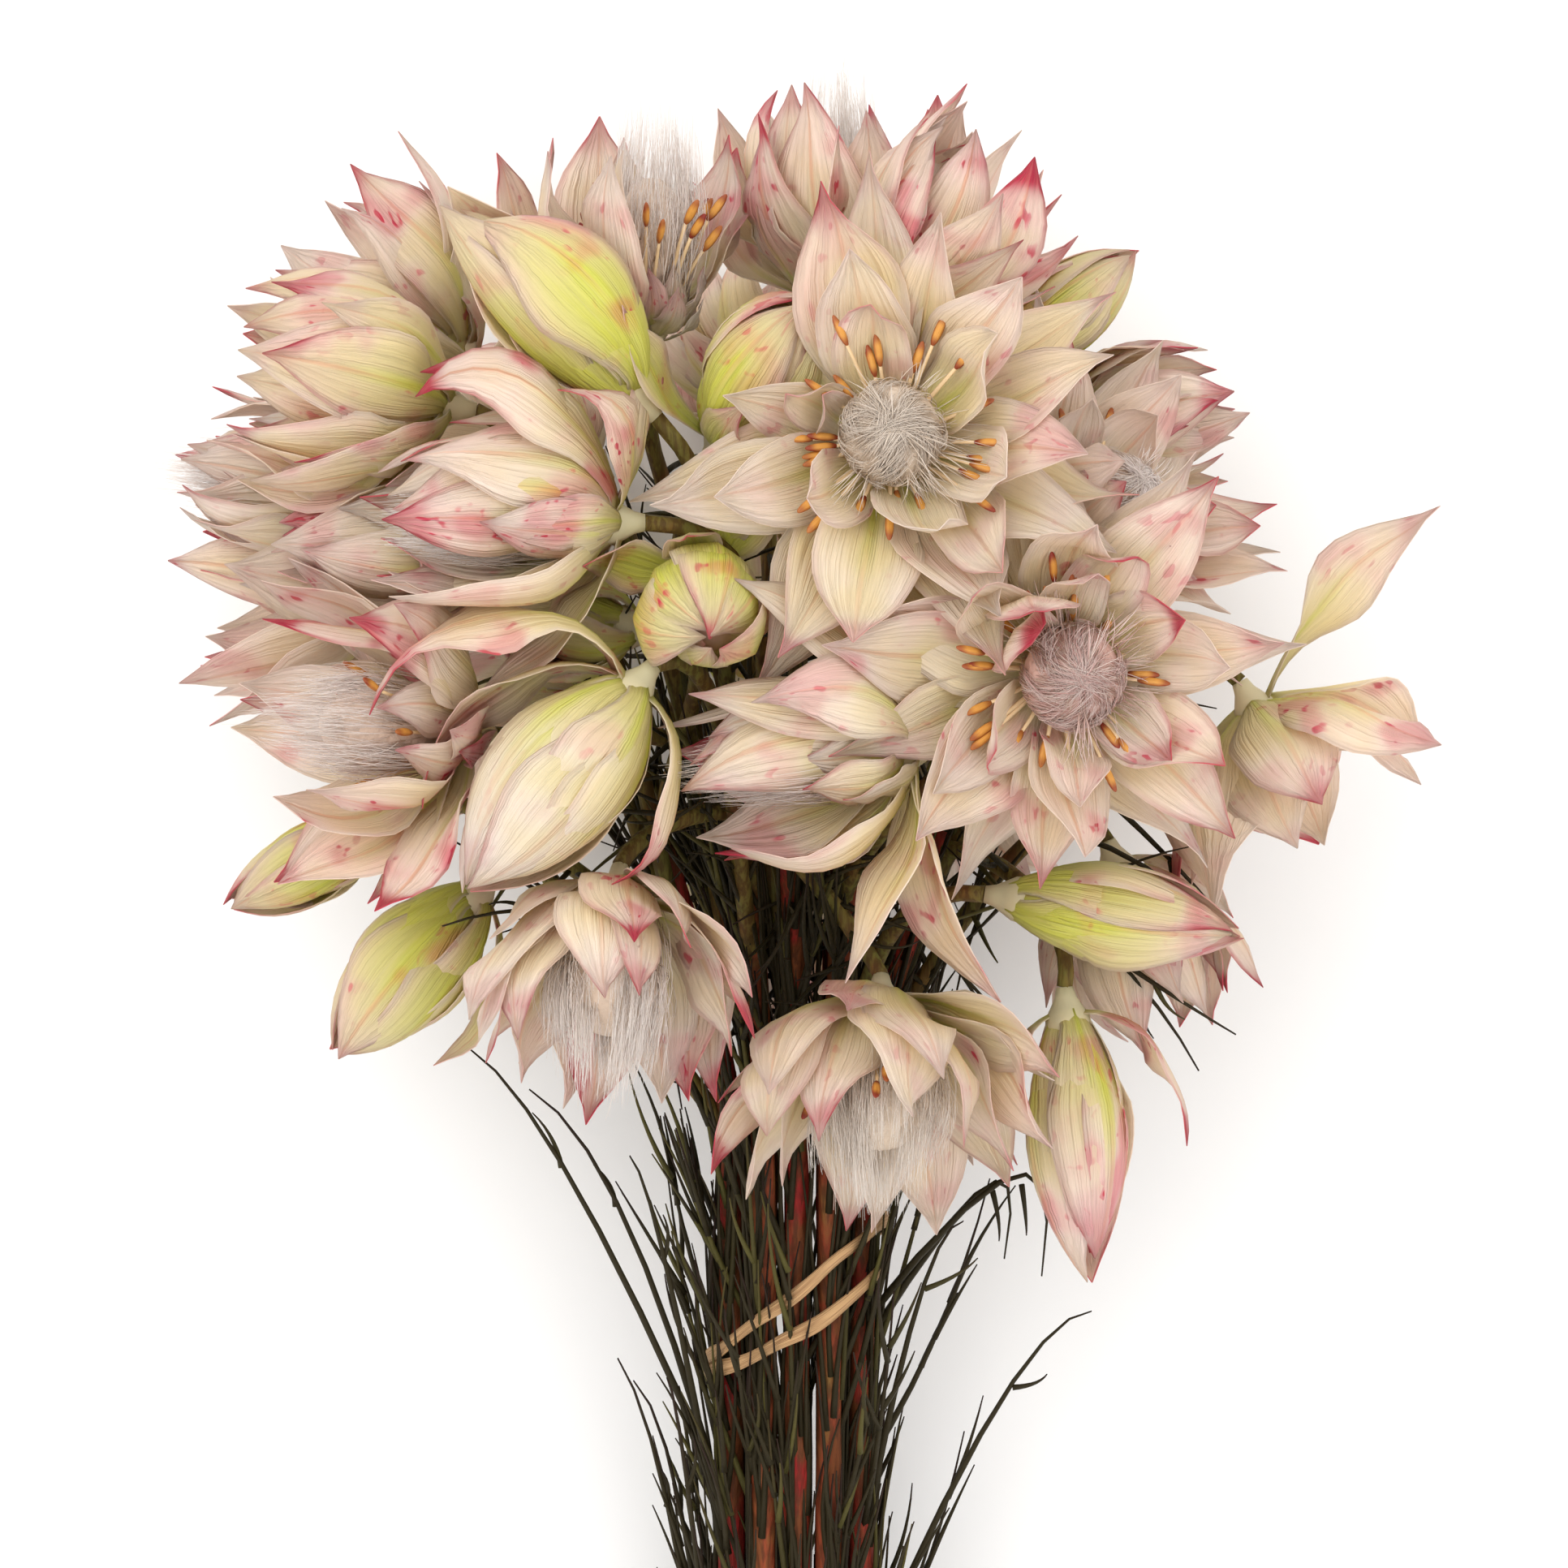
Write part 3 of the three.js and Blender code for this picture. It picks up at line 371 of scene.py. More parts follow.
class TieSettings(bpy.types.PropertyGroup):
    """The raffia tie."""

    strand: length_prop("Strand Width", "Width of a raffia strand", 2.1)
    thickness: length_prop("Thickness", "Thickness of a raffia strand", 0.45)
    straw: colour_prop("Straw", "Pale straw of the raffia", paint(214, 172, 122))
    straw_dark: colour_prop("Dark Straw", "Fibres and folds of the raffia", paint(150, 106, 64))


class StageSettings(bpy.types.PropertyGroup):
    """The floor, the lights and the camera."""

    floor: colour_prop("Floor", "Pale floor", paint(252, 252, 252))
    camera_height: length_prop("Camera Height", "Height of the camera above the floor", 1010)
    view_width: length_prop("View Width", "Width of the view at the middle of the heads", 212.5)


GROUPS = {
    "bunch_bracts": BractSettings,
    "bunch_tufts": TuftSettings,
    "bunch_stems": StemSettings,
    "bunch_tie": TieSettings,
    "bunch_stage": StageSettings,
}


# ---- Shaders ----


class Value:
    """A number or colour in a shader. Python's operators on it add Math nodes."""

    def __init__(self, shader, socket):
        self.shader = shader
        self.socket = socket

    def _math(self, operation, *numbers):
        return self.shader.node("ShaderNodeMath", {"operation": operation}, dict(enumerate(numbers)))

    def __add__(self, other):
        return self._math("ADD", self, other)

    def __sub__(self, other):
        return self._math("SUBTRACT", self, other)

    def __rsub__(self, other):
        return self._math("SUBTRACT", other, self)

    def __mul__(self, other):
        return self._math("MULTIPLY", self, other)

    def __pow__(self, other):
        return self._math("POWER", self, other)

    def __abs__(self):
        return self._math("ABSOLUTE", self)

    __radd__ = __add__
    __rmul__ = __mul__


class Shader:
    """A material's node tree."""

    def __init__(self, name):
        self.material = bpy.data.materials.new(name)
        self.material.use_nodes = True
        self.tree = self.material.node_tree
        self.tree.nodes.clear()

    def node(self, kind, settings=None, sockets=None, output=0):
        """Adds a node and returns one of its outputs, or all of them if output is None."""
        node = self.tree.nodes.new(kind)
        for key, setting in (settings or {}).items():
            setattr(node, key, setting)
        for key, value in (sockets or {}).items():
            if isinstance(value, Value):
                self.tree.links.new(value.socket, node.inputs[key])
            else:
                node.inputs[key].default_value = (*value, 1) if key in COLOUR_SOCKETS else value
        if output is None:
            return [Value(self, socket) for socket in node.outputs]
        return Value(self, node.outputs[output])

    def mix(self, share, below, above):
        """One colour laid over another by a share."""
        shades = [s if isinstance(s, Value) else (*s, 1) for s in (below, above)]
        return self.node("ShaderNodeMix", {"data_type": "RGBA"}, {0: share, 6: shades[0], 7: shades[1]}, 2)

    def step(self, value, low, high):
        """0 below low, 1 above high and smooth between, or the other way if low is above high."""
        return self.node(
            "ShaderNodeMapRange",
            {"interpolation_type": "SMOOTHSTEP"},
            {"Value": value, "From Min": low, "From Max": high},
        )

    def noise(self, place, scale, detail=2.0, rough=0.5):
        sockets = {"Vector": place, "Scale": scale, "Detail": detail, "Roughness": rough}
        return self.node("ShaderNodeTexNoise", None, sockets)

    def place(self):
        return self.node("ShaderNodeTexCoord", output="Object")

    def parts(self, vector):
        return self.node("ShaderNodeSeparateXYZ", None, {0: vector}, None)

    def joined(self, *numbers):
        return self.node("ShaderNodeCombineXYZ", None, dict(enumerate(numbers)))

    def blade(self):
        """Where a point is across and along its own shape."""
        return self.parts(self.node("ShaderNodeUVMap", {"uv_map": "blade"}))[:2]

    def tone(self):
        """The three numbers that each shape carries."""
        return self.parts(self.node("ShaderNodeAttribute", {"attribute_name": "tone"}, None, "Color"))

    def bump(self, height, distance, strength=1.0):
        return self.node(
            "ShaderNodeBump", None, {"Height": height, "Distance": distance, "Strength": strength}
        )

    def surface(self, sockets):
        return self.node("ShaderNodeBsdfPrincipled", None, sockets)

    def see_through(self, share, light, surface):
        """Lets a share of the light through a thin surface."""
        through = self.node("ShaderNodeBsdfTranslucent", None, {"Color": light})
        return self.node("ShaderNodeMixShader", None, {0: share, 1: surface, 2: through})

    def finish(self, surface):
        self.node("ShaderNodeOutputMaterial", None, {"Surface": surface}, None)
        return self.material


COLOUR_SOCKETS = {"Color", "Base Color", "Sheen Tint", "Specular Tint"}


def bract_material(name, look, greenness):
    """Papery bract: parallel veins, a yellow-green streak and base, pink flush, crimson spots and margins."""
    shader = Shader(name)
    place = shader.place()
    across, along = shader.blade()
    seed, pink, green = shader.tone()
    side = abs(across * 2 - 1)
    near_root = 1 - along
    patches = shader.noise(place, 120, 1)
    veins = shader.noise(shader.joined(across * 64 + seed * 60, along * 2.4, seed * 20), 1.0, 1)
    folds = shader.noise(shader.joined(across * 15 + seed * 30, along * 1.8, seed * 9), 1.0, 0)
    bold = shader.step(seed, 0.4, 0.65)

    pale = shader.step((patches - 0.5) * 1.6 + along * 0.5 + side * 0.3 - green * 1.3, -0.5, 0.5)
    ground = shader.mix(pale, look.cream, look.ivory)
    # Partly painted shade: towards its root a bract takes the gold of its own base, deepened to stand for the
    # warm shade among the bract roots
    ground = shader.mix(near_root**2.2 * 0.6, ground, look.gold_and_crevice_shade)
    flush = shader.step(patches, 0.44, 0.62) * 0.75 + shader.step(along, 0.35, 0.9) * 0.5 + 0.1
    ground = shader.mix(flush * (pink + 0.1), ground, look.blush)
    streak = shader.step(side + (folds - 0.5) * 0.1, 0.24, 0.02) * shader.step(near_root, 0.22, 0.75)
    down = shader.step(near_root, green * -0.45 + 0.3, green * -0.4 + 0.9)
    body = shader.step(side, 1.0, 0.4) * down * green * greenness
    leafy = streak * (green * 0.5 + 0.4) + near_root**3.0 * (green * 0.5 + 0.4) + body
    ground = shader.mix(leafy, ground, look.green)
    thread = shader.step(side + (folds - 0.5) * 0.1, 0.09, 0.01) * shader.step(along, 0.3, 0.65)
    ground = shader.mix(thread * (pink * 0.5 + 0.2), ground, look.rust)
    rim = shader.step(side, 0.8, 1.0)
    ground = shader.mix(rim * 0.55, ground, look.ivory)
    margin = shader.step(side, 0.72, 1.0) * shader.step(along, 0.4, 0.9)
    ends = shader.step(along + (patches - 0.5) * 0.4, 0.8, 1.02)
    redness = (margin * 0.8 + ends * 1.2) * (bold * 0.85 + 0.15) * (pink * 0.9 + 0.35)
    ground = shader.mix(redness, ground, look.crimson)
    blots = shader.noise(shader.joined(across * 7 + seed * 50, along * 11, seed * 31), 1.0, 1, 0.6)
    where = shader.step(patches, 0.45, 0.58)
    spots = shader.step(blots, 0.62, 0.71) * where * (pink * 1.3 + 0.2)
    washes = shader.step(patches, 0.53, 0.68) * pink * 0.9
    ground = shader.mix(spots * 0.7 + washes, ground, look.crimson)
    shade = shader.step(veins * 0.6 + folds * 0.4, 0.38, 0.6)
    ground = shader.mix((1 - shade) * 0.16, ground, tuple(0.7 * c for c in look.cream))

    surface = shader.surface(
        {
            "Base Color": ground,
            "Roughness": patches * 0.2 + 0.4,
            "Specular IOR Level": 0.35,
            "Normal": shader.bump(veins * 0.9 + folds * 1.3, 0.5 * MM, 0.8),
        }
    )
    stained = shader.step(redness * 0.8 + spots + washes + leafy * 0.6, 0.0, 1.0)
    share = (rim * 0.15 + look.see_through) * (1 - stained * 0.6)
    return shader.finish(shader.see_through(share, look.light, surface))


def hair_material(name, look):
    shader = Shader(name)
    _, along = shader.blade()
    seed, pink, cream = shader.tone()
    # Painted shade: each hair darkens to the core colour towards its root, where the tuft shades itself
    shade = shader.mix(shader.step(along, 0.0, 0.45) * (seed * 0.4 + 0.6), look.core, look.silver)
    shade = shader.mix(cream, shade, look.core)
    shade = shader.mix(pink * (seed * 0.5 + 0.5), shade, look.mauve)
    surface = shader.surface(
        {"Base Color": shade, "Roughness": along * 0.1 + 0.42, "Specular IOR Level": 0.4}
    )
    return shader.finish(shader.see_through(0.2, look.silver, surface))


# A ball among the hair roots, coloured as painted shade: the look of shaded hair where the tuft shades itself
def root_shade_material(name, look):
    shader = Shader(name)
    place = shader.place()
    _, pink, _ = shader.tone()
    grain = shader.noise(place, 900, 2)
    shade = shader.mix(grain, tuple(0.75 * c for c in look.core), look.core)
    shade = shader.mix(pink * 0.7, shade, look.mauve)
    return shader.finish(
        shader.surface(
            {"Base Color": shade, "Roughness": 0.9, "Normal": shader.bump(grain, 0.5 * MM, 0.8)}
        )
    )


def anther_material(name, look):
    """An anther: orange with dark red ends, on a cream lobe. The tone's last number tells them apart."""
    shader = Shader(name)
    across, along = shader.blade()
    seed, pink, is_lobe = shader.tone()
    ends = shader.step(abs(along * 2 - 1), 0.2, 0.8) + shader.step(abs(across * 2 - 1), 0.5, 0.95) * 0.7
    body = shader.mix(ends * (seed * 0.4 + 0.6), look.anther, look.anther_end)
    groove = shader.noise(shader.joined(across * 9, along * 3, seed * 40), 1.0, 2)
    body = shader.mix(groove * 0.35, body, look.anther_end)
    shade = shader.mix(is_lobe, body, shader.mix(pink * 0.5, look.filament, look.anther))
    bump = shader.bump(groove, 0.15 * MM, 0.6)
    return shader.finish(
        shader.surface({"Base Color": shade, "Roughness": groove * 0.3 + 0.4, "Normal": bump})
    )


def stem_material(name, look):
    """Bark in brown, red and green, and the needle leaves. The tone's last number tells them apart."""
    shader = Shader(name)
    place = shader.place()
    _, along = shader.blade()
    seed, green, is_needle = shader.tone()
    x, y, z = shader.parts(place)
    ridges = shader.noise(shader.joined(x, y * 0.12, z), 1500, 3)
    blots = shader.noise(shader.joined(x, y * 0.4, z), 260, 3)
    bark = shader.mix(shader.step(blots, 0.42, 0.6), look.bark, look.bark_red)
    bark = shader.mix(shader.step(green + (blots - 0.5) * 0.8, 0.35, 0.75), bark, look.bark_green)
    bark = shader.mix(shader.step(ridges, 0.62, 0.4) * 0.6, bark, tuple(0.3 * c for c in look.bark))
    leaf = shader.mix(shader.step(along + (seed - 0.5) * 0.5, 0.55, 1.05), look.needle, look.needle_tip)
    leaf = shader.mix(shader.step(seed, 0.76, 0.94) * 0.4, leaf, look.bark_green)
    shade = shader.mix(is_needle, bark, leaf)
    return shader.finish(
        shader.surface(
            {
                "Base Color": shade,
                "Roughness": ridges * 0.3 + 0.5,
                "Specular IOR Level": 0.22,
                "Normal": shader.bump(ridges, 0.3 * MM, 0.7),
            }
        )
    )


def raffia_material(name, look):
    shader = Shader(name)
    across, along = shader.blade()
    fibres = shader.noise(shader.joined(across * 12, along * 6, 0.0), 1.6, 3)
    fades = shader.noise(shader.joined(across * 1.5, along * 9, 3.0), 1.0, 2)
    shade = shader.mix(shader.step(fibres, 0.6, 0.35) * 0.7 + fades * 0.2, look.straw, look.straw_dark)
    surface = shader.surface(
        {"Base Color": shade, "Roughness": fibres * 0.2 + 0.5, "Normal": shader.bump(fibres, 0.25 * MM, 0.9)}
    )
    return shader.finish(surface)


# ---- Placing by rule ----


def vary(i, j, k):
    """A number from 0 to 1 that is always the same for the same three numbers."""
    wave = math.sin(i * 12.9898 + j * 78.233 + k * 37.719) * 43758.5453
    return wave - math.floor(wave)


def unit(vector):
    return vector / np.linalg.norm(vector, axis=-1, keepdims=True)


def smoothstep(value, low, high):
    share = np.clip((value - low) / (high - low), 0, 1)
    return share * share * (3 - 2 * share)


def frame_of(axis):
    """Two directions square to an axis and to each other."""
    across = UP - axis * axis[2]
    if np.linalg.norm(across) < 0.2:
        across = np.array((0, 1, 0)) - axis * axis[1]
    across = unit(across)
    return across, np.cross(axis, across)


def set_round(shape, axis):
    """A shape's points across an axis, at the shape's own radius."""
    across, along = frame_of(axis)
    return across * shape.at[:, 0:1] + along * shape.at[:, 1:2]


class Head:
    """A flower head: where it is, which way it faces and how far it has opened."""

    def __init__(self, index, row):
        self.index = index
        self.name, self.stem, base, facing, self.length, self.opening = row[:6]
        self.shows_florets, self.anthers, self.pink, self.green = row[6:]
        self.base = np.array(base, float)
        self.axis = unit(np.array(facing, float))
        self.is_bud = self.opening < BUD_UNDER
        self.is_wide = self.opening > WIDE_OVER
        self.is_hidden = self.name.startswith("back")
        self.hangs = self.name.startswith("hanging")

    def at(self, height):
        return self.base + self.axis * height

    def rings(self):
        if self.is_bud:
            return BUD_RINGS
        if self.name in LOOSE:
            return LOOSE_RINGS
        return WIDE_RINGS if self.is_wide else OPEN_RINGS


def curve_points(corners, count=200):
    """Evenly spaced points on a smooth curve through the corners, with the pace of a centripetal spline."""
    corners = [np.array(c, float) for c in corners]
    ends = [2 * corners[0] - corners[1], *corners, 2 * corners[-1] - corners[-2]]
    points = []
    for a, b, c, d in zip(ends, ends[1:], ends[2:], ends[3:]):
        before, span, after = (np.linalg.norm(q - p) ** 0.5 for p, q in ((a, b), (b, c), (c, d)))
        leave = ((b - a) / before - (c - a) / (before + span) + (c - b) / span) * span
        meet = ((c - b) / span - (d - b) / (span + after) + (d - c) / after) * span
        share = np.linspace(0, 1, count // 4)[:, None]
        points.append(
            b
            + leave * share
            + (3 * (c - b) - 2 * leave - meet) * share**2
            + (2 * (b - c) + leave + meet) * share**3
        )
    return evened(np.concatenate(points), count)


def bezier_points(start, leave, meet, end, count=48):
    share = np.linspace(0, 1, count)[:, None]
    points = (
        start * (1 - share) ** 3
        + 3 * leave * share * (1 - share) ** 2
        + 3 * meet * share**2 * (1 - share)
        + end * share**3
    )
    return evened(points, count)


def evened(points, count):
    """The same line with its points at equal distances."""
    steps = np.linalg.norm(np.diff(points, axis=0), axis=1)
    far = np.concatenate(([0], np.cumsum(steps)))
    wanted = np.linspace(0, far[-1], count)
    return np.stack([np.interp(wanted, far, points[:, k]) for k in range(3)], axis=1)


def on_line(line, share):
    """The point and direction at a share of a line's length."""
    at = share * (len(line) - 1)
    i = min(int(at), len(line) - 2)
    return line[i] + (line[i + 1] - line[i]) * (at - i), unit(line[i + 1] - line[i])


# ---- Shapes and their copies ----


def coordinates(mesh):
    """A mesh's points as rows of three numbers."""
    flat = np.empty(len(mesh.vertices) * 3, np.float32)
    mesh.vertices.foreach_get("co", flat)
    return flat.reshape(-1, 3)


def made_mesh(name, make):
    """A mesh from a function that builds it with Blender's mesh operators."""
    bm = bmesh.new()
    make(bm)
    mesh = bpy.data.meshes.new(name)
    bm.to_mesh(mesh)
    bm.free()
    return mesh


def joined(meshes, name="joined"):
    """One mesh from several."""

    def gather(bm):
        for mesh in meshes:
            bm.from_mesh(mesh)

    return made_mesh(name, gather)


class Shape:
    """A simple shape that Blender's operators make once, and that is copied and bent many times."""

    def __init__(self, name, make):
        self.mesh = made_mesh(name, make)
        self.at = coordinates(self.mesh).astype(float)
        self.faces = [tuple(face.vertices) for face in self.mesh.polygons]

    def copies(self, places, tones, blade, material=0):
        """A mesh of one copy for each row of places, with its tone, and the shape's own blade coordinates."""
        count, corners = places.shape[:2]
        mesh = joined([self.mesh] * count, self.mesh.name + "_copies")
        mesh.vertices.foreach_set("co", (places.reshape(-1) * MM).astype(np.float32))
        tone = mesh.attributes.new("tone", "FLOAT_COLOR", "POINT")
        rows = np.ones((count, corners, 4), np.float32)
        rows[:, :, :3] = np.asarray(tones)[:, None, :]
        tone.data.foreach_set("color", rows.reshape(-1))
        loops = np.empty(len(mesh.loops), np.int32)
        mesh.loops.foreach_get("vertex_index", loops)
        layer = mesh.uv_layers.new(name="blade")
        layer.uv.foreach_set("vector", blade[loops % corners].astype(np.float32).reshape(-1))
        mesh.polygons.foreach_set("material_index", np.full(len(mesh.polygons), material, np.int32))
        return mesh


def grid_shape(bm, columns, rows):
    bmesh.ops.create_grid(bm, x_segments=columns, y_segments=rows, size=0.5)


def rod_shape(bm, sides, cuts, tip):
    """A round rod from height 0 to 1, cut across, with a blunt tip of the given radius."""
    bmesh.ops.create_cone(bm, cap_ends=True, segments=sides, radius1=1, radius2=tip, depth=1)
    bmesh.ops.translate(bm, verts=bm.verts, vec=(0, 0, 0.5))
    if cuts:
        upright = [edge for edge in bm.edges if abs(edge.verts[0].co.z - edge.verts[1].co.z) > 0.5]
        bmesh.ops.subdivide_edges(bm, edges=upright, cuts=cuts, use_grid_fill=True)


def ball_shape(bm, sides, rows):
    bmesh.ops.create_uvsphere(bm, u_segments=sides, v_segments=rows, radius=1)


def make_shapes():
    return {
        "bract": Shape("bract", lambda bm: grid_shape(bm, 6, 13)),
        "hair": Shape("hair", lambda bm: rod_shape(bm, 3, 3, 0.25)),
        "lobe": Shape("lobe", lambda bm: rod_shape(bm, 5, 5, 0.7)),
        "anther": Shape("anther", lambda bm: ball_shape(bm, 8, 8)),
        "core": Shape("core", lambda bm: ball_shape(bm, 20, 12)),
        "stalk": Shape("stalk", lambda bm: rod_shape(bm, 8, 14, 1.0)),
        "stem": Shape("stem", lambda bm: rod_shape(bm, 12, 40, 1.0)),
        "needle": Shape("needle", lambda bm: rod_shape(bm, 5, 6, 0.2)),
        "cup": Shape("cup", lambda bm: rod_shape(bm, 12, 6, 1.0)),
        "strand": Shape("strand", lambda bm: grid_shape(bm, 4, 90)),
    }


def grid_blade(shape):
    """Blade coordinates of a flat grid: across it, and along it."""
    return shape.at[:, :2] + 0.5


def add_wall(piece, thickness):
    wall = piece.modifiers.new("Thickness", "SOLIDIFY")
    wall.thickness = thickness
    wall.offset = 0


def add_piece(name, mesh, materials, node):
    """Puts a finished piece in the scene in place of its solid."""
    mesh.name = name
    for material in materials:
        mesh.materials.append(material)
    moved = coordinates(mesh) - (REST_SPOT * MM).astype(np.float32)
    mesh.vertices.foreach_set("co", moved.reshape(-1))
    mesh.shade_smooth()
    piece = bpy.data.objects.new(name, mesh)
    bpy.context.scene.collection.objects.link(piece)
    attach(piece, "root")
    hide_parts(node)
    return piece


def rods(shape, starts, bends, ends, radii, ovals=None):
    """Bends copies of a rod along quadratic curves. Each is round, or as oval as its two radii say."""
    share = shape.at[:, 2][None, :, None]
    a, b, c = (np.asarray(p, float)[:, None, :] for p in (starts, bends, ends))
    middle = a * (1 - share) ** 2 + 2 * b * share * (1 - share) + c * share**2
    way = unit((b - a) * (1 - share) + (c - b) * share + 1e-9)
    side = np.cross(way, ASKEW)
    side = unit(side)
    other = np.cross(way, side)
    x, y = shape.at[None, :, 0:1], shape.at[None, :, 1:2]
    radii = np.asarray(radii, float)[:, None, None]
    wide = 1 if ovals is None else np.asarray(ovals, float)[:, None, None]
    return middle + radii * (x * wide * side + y * other)


def rod_blade(shape):
    """Blade coordinates of a rod: round it, and along it."""
    turn = np.arctan2(shape.at[:, 1], shape.at[:, 0]) / (2 * math.pi) + 0.5
    return np.stack((turn, shape.at[:, 2]), axis=1)


# ---- Keeping clear ----


class Room:
    """The room that is already taken, so that new bracts bend clear of it."""

    def __init__(self):
        self.owners, self.trees, self.low, self.high = [], [], [], []

    def take(self, owner, at, faces):
        self.owners.append(owner)
        self.trees.append(BVHTree.FromPolygons(at.tolist(), faces))
        self.low.append(at.min(axis=0))
        self.high.append(at.max(axis=0))

    def clashes(self, owner, at, faces):
        """How many faces of a shape cross what others have taken."""
        low, high = at.min(axis=0), at.max(axis=0)
        near = np.all((np.array(self.low) < high) & (np.array(self.high) > low), axis=1)
        tree = BVHTree.FromPolygons(at.tolist(), faces)
        return sum(
            len(tree.overlap(self.trees[i])) for i in np.flatnonzero(near) if self.owners[i] != owner
        )


# ---- Bracts ----

# Crossings of faces that a bract may have: before it tries to bend, and at most behind and in front
TOUCHES = 3
MOST_BEHIND = 8
MOST_IN_FRONT = 40


def lean_at(opening):
    held = np.clip(opening, LEAN[0, 0], LEAN[-1, 0])
    return [math.radians(np.interp(held, LEAN[:, 0], LEAN[:, k])) for k in (1, 2, 3)]


def width_share(s, blunt):
    """The full width narrows to the root, and to a drawn-out or a blunt point at the tip."""
    rising = ROOT_WIDTH + (1 - ROOT_WIDTH) * smoothstep(s, 0, WIDEST_AT)
    past = np.clip((s - WIDEST_AT) / (1 - WIDEST_AT), 0, 1)
    falling = np.clip(1 - past ** (1.6 + 1.3 * blunt), 0, 1) ** (1.5 - 0.6 * blunt)
    return np.where(s < WIDEST_AT, rising, falling) + TIP_WIDTH


class Bract:
    """A thin pointed blade, cupped about its head's axis and rolled to lap over its neighbour."""

    def __init__(
        self, head, azimuth, opening, length, root_height, number, width, sway,
        twist=0.0, leans=None, blunt=0.2,
    ):  # fmt: skip
        self.head, self.azimuth, self.opening, self.length = head, azimuth, opening, length
        self.root_height, self.number, self.width, self.sway = root_height, number, width, sway
        self.twist, self.leans, self.blunt = twist, leans, blunt
        self.closes = 0.3 + 0.7 * vary(head.index, number, 19) if head.is_bud and not leans else 0

    def at(self, grid, bend, look):
        """Where the points of a flat grid come to lie on the bract."""
        head, length = self.head, self.length
        across, along = frame_of(head.axis)
        outwards = across * math.cos(self.azimuth) + along * math.sin(self.azimuth)
        sideways = np.cross(head.axis, outwards)
        index, number = head.index, self.number
        root, middle, tip = lean_at(self.opening + bend)
        if self.closes:
            length = length * (1 + 0.8 * max(head.opening, 0))
        if self.leans:
            root, middle, tip = (math.radians(lean + 30 * bend) for lean in self.leans)
        elif not head.is_bud:
            middle = middle + math.radians(14) * (vary(index, number, 15) - 0.5)
            tip = tip + math.radians(40) * (vary(index, number, 16) - 0.5)
        stations = np.linspace(0, 1, RIB_STEPS + 1)
        mids = (stations[1:] + stations[:-1]) / 2
        step = length / RIB_STEPS

        def lean(share):
            return root * (1 - share) ** 2 + 2 * middle * share * (1 - share) + tip * share**2

        if self.closes:
            low, high = math.radians(-150), 0.0
            for _ in range(14):
                tip = (low + high) / 2
                if BRACT_ROOT_RADIUS + np.sum(step * np.sin(lean(mids))) > self.closes:
                    high = tip
                else:
                    low = tip
        radius = BRACT_ROOT_RADIUS + np.concatenate(([0], np.cumsum(step * np.sin(lean(mids)))))
        height = self.root_height + np.concatenate(([0], np.cumsum(step * np.cos(lean(mids)))))
        t, s = 2 * grid[:, 0], grid[:, 1] + 0.5
        far, tall = np.interp(s, stations, radius), np.interp(s, stations, height)
        angle = lean(s)
        normal = np.cos(angle)[:, None] * outwards - np.sin(angle)[:, None] * head.axis

        droop = 0.0 if head.is_bud and not self.leans else 1.0
        ragged = np.sin(6 * s + 6 * vary(index, number, 17) + np.where(t < 0, 2, 0)) * 0.06
        ragged = ragged * smoothstep(s, 0.2, 0.4)
        slender = width_share(s, self.blunt)
        half = look.half_width * length * self.width * slender * (1 + ragged)
        cup = np.clip(half / np.maximum(far, 1), CUP_LEAST, CUP_MOST)
        cup = cup + (1.25 - cup) * smoothstep(s, 0.78, 1.0) * 0.7
        reach = half * np.sin(cup * t) / cup
        depth = half * (1 - np.cos(cup * t)) / cup
        phase = 6.3 * vary(index, number, 11) + np.where(t < 0, 2.1, 0)
        waves = 1.3 + 1.0 * vary(index, number, 12)
        calm = 0.25 if head.is_bud and not self.leans else 1.0
        ripple = look.wave / MM * calm * t**2 * slender * np.sin(2 * math.pi * waves * s + phase)
        sag = 0.02 * length * calm * np.sin(2 * math.pi * (1.3 * s + vary(index, number, 13)))
        skew = np.sin(2 * math.pi * (1.1 * s + vary(index, number, 18)))
        skew = 0.03 * length * calm * t * slender * skew
        keel = 0.07 * half * np.exp(-((t / 0.2) ** 2))
        lift = (ripple + sag + skew) * smoothstep(s, 0.1, 0.45) + keel - depth
        turn = BRACT_ROLL * (0.5 if head.is_bud else 1) * smoothstep(s, 0, 0.4) + self.twist * s**2.2
        turn = turn + math.radians(75) * (vary(index, number, 14) - 0.5) * smoothstep(s, 0.45, 1) * droop
        cos, sin = np.cos(turn)[:, None], np.sin(turn)[:, None]
        point = (
            head.base
            + head.axis * tall[:, None]
            + outwards * far[:, None]
            + sideways * (self.sway * length * s * s)[:, None]
            + (sideways * cos + normal * sin) * reach[:, None]
            + (normal * cos - sideways * sin) * lift[:, None]
        )
        point[:, 2] = np.maximum(point[:, 2], FLOOR_GAP)
        return point


